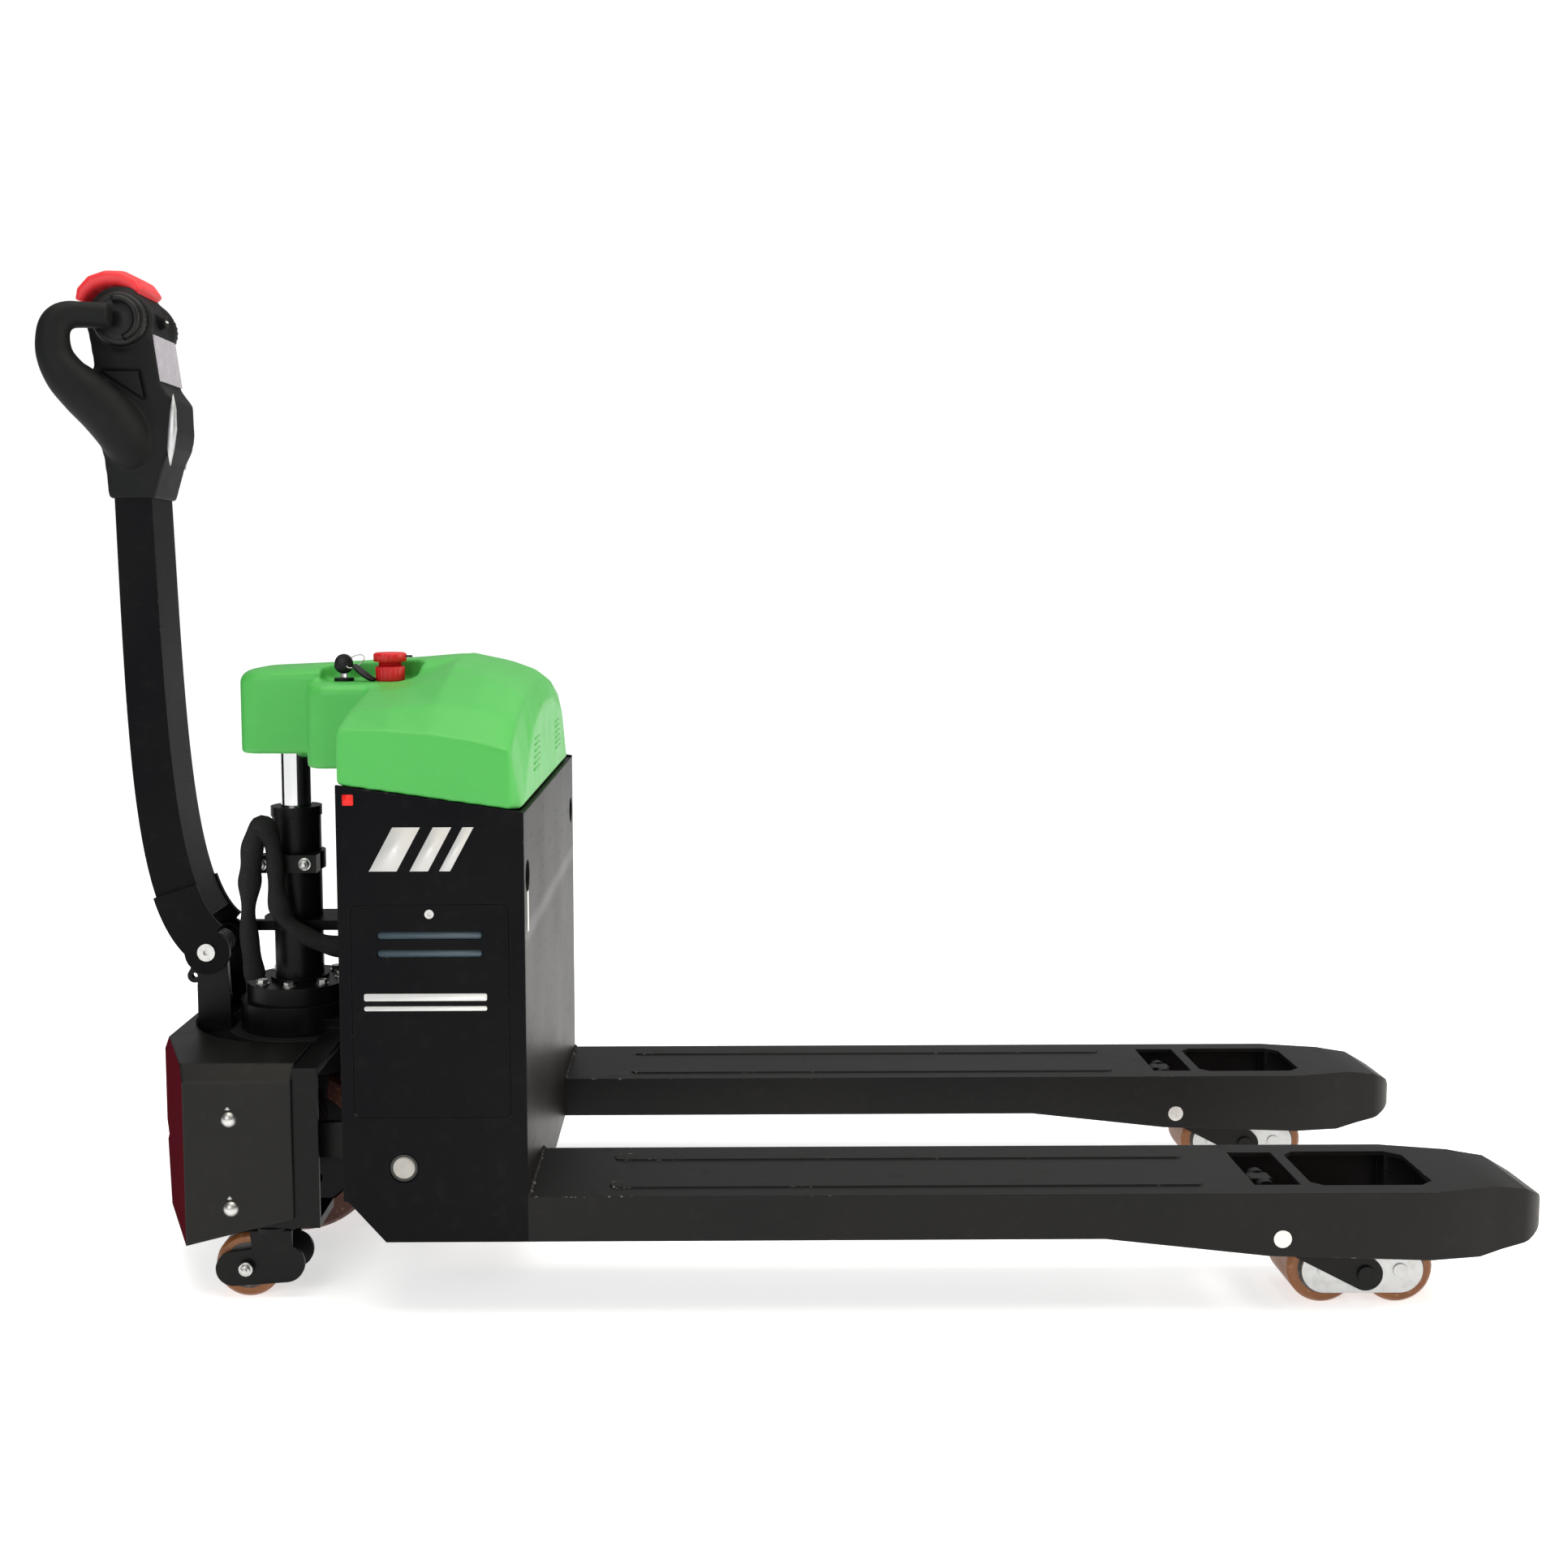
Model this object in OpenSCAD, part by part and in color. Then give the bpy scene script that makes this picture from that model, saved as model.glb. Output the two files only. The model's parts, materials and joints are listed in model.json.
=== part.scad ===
/* [Forks] */
// Length of a fork from the heel face to its tip
fork_length = 1150; // [950:5:1400]
// Width of one fork
fork_width = 150; // [140:1:185]
// Width over both forks
fork_spread = 560; // [540:2:690]
// Height of the fork tops when fully lowered
lowered_height = 85; // [82:1:95]
// Lift already taken in the drawn position
drawn_lift = 58; // [40:1:70]
// Depth of the fork section at the heel
fork_depth = 51; // [46:1:60]
// Extra depth of the fork belly beside the rollers
belly_depth = 28; // [10:1:28]
// Plate thickness of the forks
fork_plate = 5; // [4:0.5:6]
// Height of the pressed ribs on the fork tops
rib_height = 1.5; // [0.5:0.5:3]

/* [Load rollers] */
// Diameter of a load roller
roller_d = 80; // [70:1:80]
// Width of a load roller
roller_w = 72; // [60:1:80]
// Distance between the two roller axles of a bogie
roller_pitch = 85; // [81:1:95]
// Distance from the fork tip back to the bogie axle
bogie_setback = 213; // [200:1:240]
// Length of the roller arm between its pivot and the bogie axle
arm_length = 115; // [105:1:125]
// Radius of the roller arm's pivot pin
arm_pin_r = 10; // [8:0.5:12]
// Height of the push rod eye over the arm pivot
arm_eye = 33; // [30:0.5:36]

/* [Chassis box] */
// Depth of the box from its back to the heel face
box_depth = 203; // [180:1:260]
// Height of the side plates at the tiller side
box_top = 600; // [540:1:680]
// Drop of the side plates' top edge towards the forks
top_fall = 30; // [10:1:50]
// Thickness of the side plates
side_plate_t = 6; // [4:0.5:8]
// Thickness of the heel face plate
face_plate_t = 8; // [5:0.5:12]
// Radius of the access hole in the heel face
port_r = 18; // [12:1:22]

/* [Access panel] */
// Width of the access panel
panel_w = 171; // [120:1:171]
// Height of the access panel
panel_h = 236; // [180:1:260]
// Length of a window slot in the panel
slot_length = 116; // [80:1:130]

/* [Hood] */
// Wall of the hood
hood_wall = 4; // [3:0.5:6]
// Height of the hood's crease over the side plates
crease_h = 61; // [40:1:80]
// Height of the hood's crown over the side plates
crown_h = 122; // [110:1:140]
// Half width of the hood's nose
nose_half = 70; // [60:1:80]

/* [Lift cylinder] */
// Distance from the back of the box to the cylinder and steering axis
axis_reach = 118; // [117:1:142]
// Outer radius of the cylinder tube
tube_r = 30; // [26:0.5:34]
// Radius of the piston rod
rod_r = 19; // [14:0.5:20]
// Top of the cylinder tube over the floor
tube_top = 539; // [500:1:545]
// Radius of the cylinder's foot flange
flange_r = 65; // [60:1:67]

/* [Drive unit] */
// Diameter of the drive wheel
drive_d = 210; // [180:2:216]
// Width of the drive wheel
drive_w = 64; // [50:1:70]
// Radius of the drive axle
drive_axle_r = 15; // [10:0.5:20]
// Radius of the drive motor
motor_r = 45; // [35:1:48]

/* [Front cover and casters] */
// Half width of the front cover
cover_half = 225; // [222:1:250]
// Top of the front cover over the floor
cover_top = 272; // [264:1:276]
// Wall of the front cover
cover_wall = 3; // [2:0.5:4]
// Diameter of a caster wheel
caster_d = 75; // [60:1:76]
// Width of a caster wheel
caster_w = 32; // [24:1:34]
// Trail of the caster wheel behind its swivel
caster_trail = 28; // [20:1:32]
// Half the distance between the caster swivels
caster_half = 198; // [194:1:200]

/* [Tiller] */
// Height of the tiller pivot over the floor
pivot_z = 361; // [355:1:375]
// Distance from the steering axis to the tiller pivot
pivot_reach = 104; // [102:1:106]
// Width of the tiller tube
tiller_w = 72; // [64:1:76]
// Depth of the tiller tube at its top
tiller_depth = 45; // [38:1:50]
// Wall of the tiller tube
tiller_wall = 3; // [2:0.5:4]
// Height of the tiller head's neck over the pivot
neck_rise = 560; // [460:5:700]
// Radius of the tiller pivot pin
tiller_pin_r = 8; // [6:0.5:9]
// Half width of the tiller head
head_half = 41; // [40:1:44]
// Reach of the grips to each side
grip_reach = 88; // [86:1:110]

/* [Fits] */
// Radial clearance of pins and shafts that run in bores
run_fit = 0.05; // [0.02:0.01:0.1]
// Free gap between pieces that move past each other
gap = 0.5; // [0.3:0.1:1]

/* [Hidden] */
$fn = 64;

// colours
paint = [0.06, 0.07, 0.09];
plastic = [0.16, 0.17, 0.18];
lime = [0.36, 0.78, 0.33];
red = [0.85, 0.12, 0.14];
steel = [0.72, 0.73, 0.75];
tread = [0.62, 0.30, 0.12];

// forks: top face, lower edge and centre plane
fork_top = lowered_height + drawn_lift;
fork_bottom = fork_top - fork_depth;
fork_y = (fork_spread - fork_width) / 2;
fork_inner = fork_width / 2 - fork_plate;

// load wheels
roller_r = roller_d / 2;
bogie_x = fork_length - bogie_setback;
bogie_z = roller_r;
arm_pivot_z = fork_top - 52;
arm_drop = arm_pivot_z - bogie_z;
arm_pivot_x = bogie_x - sqrt(pow(arm_length, 2) - pow(arm_drop, 2));
eye_z = arm_pivot_z + arm_eye;
bogie_plate_t = 5;
bogie_plate_y = roller_w / 2 + 1;
arm_plate_t = 8;
arm_plate_y = bogie_plate_y + bogie_plate_t + 2;
bogie_pin_r = 10;
roller_axle_r = 6;

// chassis box
box_half = fork_spread / 2;
box_bottom = fork_bottom;
box_x = -box_depth;
box_top_heel = box_top - top_fall;
box_inner = box_half - side_plate_t;
box_chamfer = 46;

// lift linkage: rocker pivot, lower eye and arm to the base pins
rocker_r = 170;
base_pin_x = box_x - axis_reach + 15;
rocker_x = base_pin_x + rocker_r;
rocker_z = 176;
base_pin_z = rocker_z;
lever_y0 = 182;
lever_y1 = 192;
rod_eye_y0 = lever_y1 + 3;
rod_eye_y1 = rod_eye_y0 + 18;
link_pin_r = 8;
rocker_pin_r = 11;
rocker_tube_r = 20;

// steering axis and the stack of rings on it
axis_x = box_x - axis_reach;
ring_z0 = 262;
ring_z1 = 297;
ring_r = 73;
flange_z1 = 319;
bolt_pcd = 104;
steer_reach = 112;
turn_z0 = 238;
turn_r = 88;
spigot_r = 28;

// casters
caster_r = caster_d / 2;
caster_x = axis_x + 19;
caster_plate_z = caster_d + 9;
caster_plate_t = 10;
stem_r = 8;

// tiller
pivot_x = axis_x - pivot_reach;
cheek_t = 6;
cheek_y = tiller_w / 2;
ear_y1 = tiller_w / 2 - gap;
ear_t = 8;
boss_r = 22;
lug = [-18, -31];
lug_r = 9;
neck_z = pivot_z + neck_rise;
neck_x = pivot_x - 76;
head_x = pivot_x - 83;
hub_z = neck_z + 212;
hub_r = 40;

// the origin is midway between the grips' back and the fork tips
back_x = head_x - 83.5;
mid_x = (fork_length + back_x) / 2;

// ---------------------------------------------------------------- helpers

function arc(c, r, a0, a1, n = 16) =
    [for (i = [0:n]) let (a = a0 + (a1 - a0) * i / n) [c[0] + r * cos(a), c[1] + r * sin(a)]];

// outline of a flat link: two circles joined by their outer tangents
function link(p, rp, q, rq) =
    let (d = q - p, a = atan2(d[1], d[0]), b = acos((rp - rq) / norm(d)))
    concat(arc(p, rp, a + b, a + 360 - b, 32), arc(q, rq, a - b, a + b, 32));

// rectangle with rounded corners
function slab(x0, y0, x1, y1, r) = concat(
    arc([x1 - r, y1 - r], r, 0, 90, 8), arc([x0 + r, y1 - r], r, 90, 180, 8),
    arc([x0 + r, y0 + r], r, 180, 270, 8), arc([x1 - r, y0 + r], r, 270, 360, 8));

function bezier(p, t) =
    pow(1 - t, 3) * p[0] + 3 * t * pow(1 - t, 2) * p[1] + 3 * t * t * (1 - t) * p[2] + pow(t, 3) * p[3];

// point on a smooth curve through the points p, at segment i and fraction t
function spline_at(p, i, t) =
    let (a = p[max(i - 1, 0)], b = p[i], c = p[i + 1], d = p[min(i + 2, len(p) - 1)])
    0.5 * (2 * b + (c - a) * t + (2 * a - 5 * b + 4 * c - d) * t * t + (3 * b - a - 3 * c + d) * t * t * t);

function spline(p, n) = concat(
    [for (i = [0:len(p) - 2], k = [0:n - 1]) spline_at(p, i, k / n)], [p[len(p) - 1]]);

function unit(v) = v / norm(v);

function tangent(p, i) = unit(p[min(i + 1, len(p) - 1)] - p[max(i - 1, 0)]);

// one ring of a tube round point c, square to the direction t
function tube_ring(c, t, side, r, n) =
    let (u = unit(cross(t, side)), v = cross(u, t))
    [for (k = [0:n - 1]) c + r * (cos(360 * k / n) * u + sin(360 * k / n) * v)];

// closed tube along the points p; radii holds a radius for each point
module tube(p, radii, side, n = 12) {
    m = len(p);
    points = [for (i = [0:m - 1]) each tube_ring(p[i], tangent(p, i), side, radii[i], n)];
    walls = [for (i = [0:m - 2], k = [0:n - 1])
        [i * n + k, i * n + (k + 1) % n, (i + 1) * n + (k + 1) % n, (i + 1) * n + k]];
    first = [for (k = [0:n - 1]) n - 1 - k];
    last = [for (k = [0:n - 1]) (m - 1) * n + k];
    polyhedron(points, concat([first], walls, [last]), convexity = 6);
}

// every piece is drawn from the heel face and then set on the origin
module placed() {
    translate([-mid_x, 0, 0]) children();
}

module both_sides() {
    children();
    mirror([0, 1, 0]) children();
}

module on_side(left) {
    mirror([0, left ? 0 : 1, 0]) children();
}

// outline in X and Z, thick from y0 to y1
module wall_y(outline, y0, y1) {
    translate([0, y1, 0]) rotate([90, 0, 0]) linear_extrude(y1 - y0) polygon(outline);
}

// outline in Y and Z, thick from x0 to x1
module wall_x(outline, x0, x1) {
    translate([x0, 0, 0]) rotate([90, 0, 90]) linear_extrude(x1 - x0) polygon(outline);
}

module bar_y(x, z, r, y0, y1) {
    translate([x, y1, z]) rotate([90, 0, 0]) cylinder(r = r, h = y1 - y0);
}

module bar_x(y, z, r, x0, x1) {
    translate([x0, y, z]) rotate([0, 90, 0]) cylinder(r = r, h = x1 - x0);
}

module bar_z(x, y, r, z0, z1) {
    translate([x, y, z0]) cylinder(r = r, h = z1 - z0);
}

module block(x0, y0, z0, x1, y1, z1) {
    translate([x0, y0, z0]) cube([x1 - x0, y1 - y0, z1 - z0]);
}

module hex_bolt(r, h) {
    cylinder(r = r, h = h, $fn = 6);
}

// ---------------------------------------------------------------- forks

nose_x = fork_length - 75;
taper_x = fork_length - 150;
belly_z = fork_bottom - belly_depth;

function fork_outline() = concat(
    [[-face_plate_t, fork_bottom], [-face_plate_t, fork_top - 1], [0, fork_top - 1], [0, fork_top],
        [nose_x, fork_top]],
    [[fork_length - 36, fork_top - 5], [fork_length - 12, fork_top - 18], [fork_length - 2, fork_top - 34]],
    [[fork_length, fork_top - 44], [fork_length - 4, fork_top - 54], [fork_length - 30, fork_top - 66]],
    [[fork_length - 90, belly_z], [bogie_x - 120, belly_z + 8], [bogie_x - 300, fork_bottom]]);

function fork_plan() = let (w = fork_width / 2) concat(
    [[-face_plate_t, -w], [taper_x, -w], [fork_length - 62, 20 - w]],
    arc([fork_length - 55, 0], 55, -70, 70, 16),
    [[fork_length - 62, w - 20], [taper_x, w], [0, w], [0, box_inner - fork_y],
        [-face_plate_t, box_inner - fork_y]]);

rib_x0 = 88;
rib_x1 = arm_pivot_x - 80;
rib_y = 42;
rib_half = 9;

module fork(left) {
    on_side(left) translate([0, fork_y, 0]) difference() {
        union() {
            intersection() {
                wall_y(fork_outline(), -fork_width / 2, fork_width / 2);
                linear_extrude(fork_top + 10) polygon(fork_plan());
            }
            for (y = [-rib_y, rib_y]) translate([0, 0, fork_top - 1]) linear_extrude(rib_height + 1)
                polygon(slab(rib_x0, y - rib_half, rib_x1, y + rib_half, rib_half - 0.1));
        }
        // open channel under the top plate
        block(-face_plate_t - 1, -fork_inner, -10, taper_x - 2, fork_inner, fork_top - fork_plate);
        block(taper_x - 5, -roller_w / 2 - 13, -10, bogie_x + 96, roller_w / 2 + 13, fork_top - fork_plate);
        // window over the push rod eye and window over the rollers
        block(arm_pivot_x - 24, -50, fork_top - 20, arm_pivot_x + 28, 50, fork_top + 10);
        translate([0, 0, fork_top - 20]) linear_extrude(40) polygon([
            [bogie_x - 62, -42], [bogie_x - 50, -52], [bogie_x + 60, -52], [bogie_x + 76, -40],
            [bogie_x + 76, 40], [bogie_x + 60, 52], [bogie_x - 50, 52], [bogie_x - 62, 42]]);
        bar_y(arm_pivot_x, arm_pivot_z, arm_pin_r, -fork_width, fork_width);
    }
}

module fork_left() color(paint) placed() fork(true);

module fork_right() color(paint) placed() fork(false);

module fork_pins() color(steel) placed() both_sides() translate([0, fork_y, 0])
    bar_y(arm_pivot_x, arm_pivot_z, arm_pin_r, -fork_width / 2, fork_width / 2);

// ---------------------------------------------------------------- chassis box

module face_plate() color(paint) placed() difference() {
    wall_x(slab(-box_inner, box_bottom, box_inner, box_top_heel - 2, 4), -face_plate_t, 0);
    for (s = [-1, 1]) {
        block(-20, s * fork_y - fork_width / 2, 0, 5, s * fork_y + fork_width / 2, fork_top - 1);
        block(-0.5, s * fork_y - fork_width / 2, 0, 5, s * fork_y + fork_width / 2, fork_top);
        bar_x(s * (box_inner - port_r - 6), box_top_heel - 75, port_r, -20, 5);
    }
}

panel_x0 = (box_x - panel_w) / 2 - 2;
panel_x1 = panel_x0 + panel_w;
panel_z0 = 233;
panel_z1 = panel_z0 + panel_h;
panel_lip = 12;
screw_z = panel_z1 - 6;
screw_x = (panel_x0 + panel_x1) / 2;
slot_r = 4.5;

function side_outline() = [
    [0, box_bottom], [0, box_top_heel], [box_x, box_top], [box_x, box_bottom + box_chamfer + 1],
    [box_x + 5, box_bottom + box_chamfer], [box_x + box_chamfer, box_bottom]];

module side_plate(left) {
    on_side(left) difference() {
        wall_y(side_outline(), box_inner, box_half);
        // rebate that takes the panel, and the hole behind it
        wall_y(slab(panel_x0 - gap, panel_z0 - gap, panel_x1 + gap, panel_z1 + gap, 8),
            box_half - 3, box_half + 5);
        wall_y(slab(panel_x0 + panel_lip, panel_z0 + panel_lip, panel_x1 - panel_lip,
            panel_z1 - panel_lip, 8), box_inner - 5, box_half);
        bar_y(rocker_x, rocker_z, rocker_pin_r, box_inner - 5, box_half + 5);
        bar_y(rocker_x, rocker_z, rocker_pin_r + 6, box_half - 2, box_half + 5);
    }
}

module side_plate_left() color(paint) placed() side_plate(true);

module side_plate_right() color(paint) placed() side_plate(false);

module access_panels() color(paint) placed() both_sides() difference() {
    wall_y(slab(panel_x0, panel_z0, panel_x1, panel_z1, 7.5), box_half - 3, box_half - 0.2);
    for (dz = [34, 54]) let (z = panel_z1 - dz)
        wall_y(slab(screw_x - slot_length / 2, z - slot_r, screw_x + slot_length / 2, z + slot_r,
            slot_r - 0.1), box_half - 10, box_half + 5);
}

module panel_screws() color(steel) placed() both_sides() difference() {
    bar_y(screw_x, screw_z - 4, 5, box_half - 0.2, box_half + 1.3);
    wall_y(arc([screw_x, screw_z - 4], 2.2, 0, 300, 5), box_half + 0.3, box_half + 5);
}

module linkage_pins() color(steel) placed() both_sides() union() {
    bar_y(rocker_x, rocker_z, rocker_pin_r, lever_y0 - 30, box_half);
    bar_y(rocker_x, rocker_z, rocker_pin_r + 4, box_half - 2, box_half - 0.5);
}

back_t = 6;
slit_z0 = rocker_z - 50;
slit_z1 = rocker_z + 50;
cable_y = -50;

// one bent sheet: the back of the box and its floor
module box_back() color(paint) placed() difference() {
    union() {
        block(box_x, -box_inner, box_bottom + box_chamfer + 2, box_x + back_t, box_inner, box_top - 4);
        block(box_x + box_chamfer, -box_inner, box_bottom, -face_plate_t, box_inner, box_bottom + 5);
        wall_y([[box_x, box_bottom + box_chamfer + 2], [box_x + back_t, box_bottom + box_chamfer + 5],
            [box_x + box_chamfer + 4, box_bottom + 5], [box_x + box_chamfer, box_bottom]],
            -box_inner, box_inner);
    }
    for (s = [-1, 1]) {
        // slits for the rocker arms
        block(box_x - 5, s * (lever_y0 + lever_y1) / 2 - 10, slit_z0, box_x + 24,
            s * (lever_y0 + lever_y1) / 2 + 10, slit_z1);
        // room for the rocker's lower eyes and the push rods
        block(rocker_x - 50, s * fork_y - 30, box_bottom - 5, 5, s * fork_y + 30, box_bottom + 30);
    }
    // slit that the harness passes through at any lift
    block(box_x - 5, cable_y - 16, 290, box_x + 12, cable_y + 16, 450);
}

battery_z0 = 225;

module battery() color([0.2, 0.22, 0.25]) placed() union() {
    block(-180, 10, battery_z0, -25, box_inner - 12, battery_z0 + 210);
    block(-160, 40, battery_z0 + 210, -130, 60, battery_z0 + 222);
    block(-75, 40, battery_z0 + 210, -45, 60, battery_z0 + 222);
}

module controller() color([0.55, 0.56, 0.58]) placed() union() {
    block(-120, -box_inner + 12, 330, -face_plate_t, -box_inner + 32, 500);
    for (i = [0:5]) block(-115 + 18 * i, -box_inner + 32, 330, -109 + 18 * i, -box_inner + 46, 500);
}

module hydraulic_unit() color([0.35, 0.36, 0.38]) placed() union() {
    bar_z(-90, -120, 45, 360, 500);
    block(-140, -165, 300, -40, -75, 360);
    bar_z(-90, -120, 40, 225, 300);
    bar_y(-90, 330, 8, -75, -60);
}

// ---------------------------------------------------------------- cylinder and its brackets

bracket_z = box_top + 28;
bracket_half = 45;

module head_bracket() color(paint) placed() union() {
    block(axis_x - 38, -bracket_half, bracket_z, box_x, bracket_half, bracket_z + 14);
    block(box_x - 8, -bracket_half, box_top - 100, box_x, bracket_half, bracket_z + 14);
    for (s = [-1, 1]) translate([0, s * (bracket_half - 4), 0])
        wall_y([[box_x - 8, box_top - 60], [box_x - 8, bracket_z], [axis_x + 30, bracket_z]], -4, 4);
}

piston_z = tube_top - 147;

module piston_rod() color([0.85, 0.86, 0.88]) placed() union() {
    bar_z(axis_x, 0, rod_r, piston_z, bracket_z);
    bar_z(axis_x, 0, rod_r + 3 - run_fit, piston_z, piston_z + 16);
}

tube_bore = rod_r + 3;
tube_foot = flange_z1 + 6;

module cylinder_tube() color(paint) placed() difference() {
    union() {
        bar_z(axis_x, 0, tube_r, ring_z1, tube_top - 12);
        bar_z(axis_x, 0, flange_r, ring_z1, flange_z1);
        bar_z(axis_x, 0, tube_r + 6, flange_z1, flange_z1 + 5);
    }
    bar_z(axis_x, 0, tube_bore, tube_foot, tube_top);
    for (a = [0:45:315]) translate([axis_x, 0, 0]) rotate(a)
        bar_z(bolt_pcd / 2, 0, 4, ring_z1 - 1, flange_z1 + 10);
}

module cylinder_gland() color(paint) placed() difference() {
    bar_z(axis_x, 0, tube_r + 1.5, tube_top - 12, tube_top);
    bar_z(axis_x, 0, rod_r + run_fit, tube_top - 20, tube_top + 5);
}

module cylinder_bolts() color(steel) placed() for (a = [0:45:315]) translate([axis_x, 0, 0]) rotate(a)
    translate([bolt_pcd / 2, 0, 0]) union() {
        bar_z(0, 0, 4, ring_z1, flange_z1 + 1);
        bar_z(0, 0, 8, flange_z1, flange_z1 + 1.5);
        translate([0, 0, flange_z1 + 1.5]) hex_bolt(6.5, 5);
    }

guide_z0 = 387;
guide_t = 12;
guide_reach = 64;

// arm from the back of the box that slides up and down the cylinder tube
module guide_bracket() color(paint) placed() difference() {
    union() {
        block(axis_x - 20, -36, guide_z0, box_x, 36, guide_z0 + guide_t);
        bar_z(axis_x, 0, tube_r + 12, guide_z0, guide_z0 + guide_t);
        block(axis_x - guide_reach, -36, guide_z0, axis_x - 20, -24, guide_z0 + guide_t);
        block(box_x - 6, -38, guide_z0 - 20, box_x, 38, guide_z0 + 26);
    }
    bar_z(axis_x, 0, tube_r + run_fit, guide_z0 - 5, guide_z0 + guide_t + 5);
}

band_z0 = 460;
band_z1 = 482;

module clamp_band() color(paint) placed() difference() {
    union() {
        bar_z(axis_x, 0, tube_r + 5, band_z0, band_z1);
        block(axis_x - 44, -tube_r - 12, band_z0, axis_x + 34, -tube_r + 8, band_z1);
    }
    bar_z(axis_x, 0, tube_r, band_z0 - 5, band_z1 + 5);
    for (dx = [-34, 20]) bar_y(axis_x + dx, band_z0 + 11, 3.5, -tube_r - 20, -tube_r + 12);
}

// wiring sleeve from the ring, up past the band and over into the box
harness_path = [
    [-43, -47, 330], [-47, -47, 360], [-50, -47, 400], [-47, -49, 440], [-43, -54, 470],
    [-39, -55, 500], [-29, -54, 520], [-17, -52, 500], [-13, -53, 465], [-11, -54, 430],
    [-1, -54, 405], [21, -53, 385], [51, -52, 372], [86, -50, 368], [131, -50, 368]];
harness_r = 9;

module harness() color([0.1, 0.1, 0.11]) placed() translate([axis_x, 0, 0]) let (p = spline(harness_path, 3))
    tube(p, [for (q = p) harness_r], [0.1, 1, 0.05], 10);

// ---------------------------------------------------------------- caster frame, cover, casters

frame_half = cover_half - cover_wall - gap;
frame_t = 5;
frame_x0 = axis_x - 49;
frame_x1 = axis_x + 76;
web_z = ring_z0 + 6;
web_t = 12;

module caster_frame() color(paint) placed() difference() {
    union() {
        bar_z(axis_x, 0, ring_r, ring_z0, ring_z1);
        block(axis_x, -60, web_z, frame_x1, 60, web_z + web_t);
        block(cover_x1 + gap, -frame_half, ring_z0, frame_x1, frame_half, ring_z0 + 8);
        both_sides() {
            block(frame_x0, frame_half - frame_t, caster_plate_z, frame_x1, frame_half, cover_top - 19);
            block(frame_x0 + 20, lever_y0 - 24, caster_plate_z, frame_x1, frame_half,
                caster_plate_z + caster_plate_t);
            block(cover_x1 + gap, frame_half - frame_t, caster_plate_z, frame_x1, frame_half, ring_z0 + 1);
            bar_y(base_pin_x, base_pin_z, link_pin_r, lever_y0 - 4, frame_half);
            bar_y(base_pin_x, base_pin_z, link_pin_r + 8, lever_y1 + 6, frame_half);
        }
    }
    bar_z(axis_x, 0, spigot_r + run_fit, ring_z0 - 5, ring_z1 - 6);
    both_sides() {
        bar_z(caster_x, caster_half, stem_r + run_fit, caster_plate_z - 5,
            caster_plate_z + caster_plate_t + 5);
        for (z = screw_zs) bar_y(screw_cx, z, 4, frame_half - 10, frame_half + 5);
    }
}

screw_cx = axis_x - 24;
screw_zs = [108, 212];
cover_x1 = axis_x + 47;
front_x = axis_x - 157;
corner_x = axis_x - 76;

// plan, side and front outlines of the cover, each drawn in by the amount d
function cover_plan(d) = [
    [cover_x1 + d, -cover_half + d], [corner_x + d * 0.4, -cover_half + d], [front_x + d, -48 + d * 0.3],
    [front_x + d, 48 - d * 0.3], [corner_x + d * 0.4, cover_half - d], [cover_x1 + d, cover_half - d]];

function cover_side(d) = [
    [cover_x1 + 20, 101 - d * 20], [corner_x, 65 - d * 20], [front_x + 14 + d, 56 - d * 20],
    [front_x + 2 + d, 128], [front_x + 9 + d, 140], [front_x + d, 152], [front_x + d, cover_top - 30],
    [front_x + 24 + d, cover_top - d], [cover_x1 + 20, cover_top - d]];

function cover_front(d) = [
    [-cover_half + d, -90], [-cover_half + d, cover_top - 17], [-cover_half + 17 + d * 0.6, cover_top - d],
    [cover_half - 17 - d * 0.6, cover_top - d], [cover_half - d, cover_top - 17], [cover_half - d, -90]];

module cover_body(d) {
    intersection() {
        linear_extrude(400) polygon(cover_plan(d));
        wall_y(cover_side(d), -cover_half - 5, cover_half + 5);
        wall_x(cover_front(d), front_x - 10, cover_x1 + 30);
    }
}

well_r = 127;

module front_cover() color(paint) placed() difference() {
    cover_body(0);
    cover_body(cover_wall);
    bar_z(axis_x, 0, well_r, cover_top - 40, cover_top + 10);
    block(axis_x, -well_r, cover_top - 40, cover_x1 + 20, well_r, cover_top + 10);
    both_sides() for (z = screw_zs) bar_y(screw_cx, z, 4, cover_half - 10, cover_half + 5);
}

dome_r = 9;

module cover_screws() color(steel) placed() both_sides() for (z = screw_zs) union() {
    bar_y(screw_cx, z, 4, frame_half - 14, cover_half + 1);
    intersection() {
        translate([screw_cx, cover_half - 4, z]) sphere(r = 9.8);
        block(screw_cx - 20, cover_half, z - 20, screw_cx + 20, cover_half + 20, z + 20);
    }
}

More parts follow.
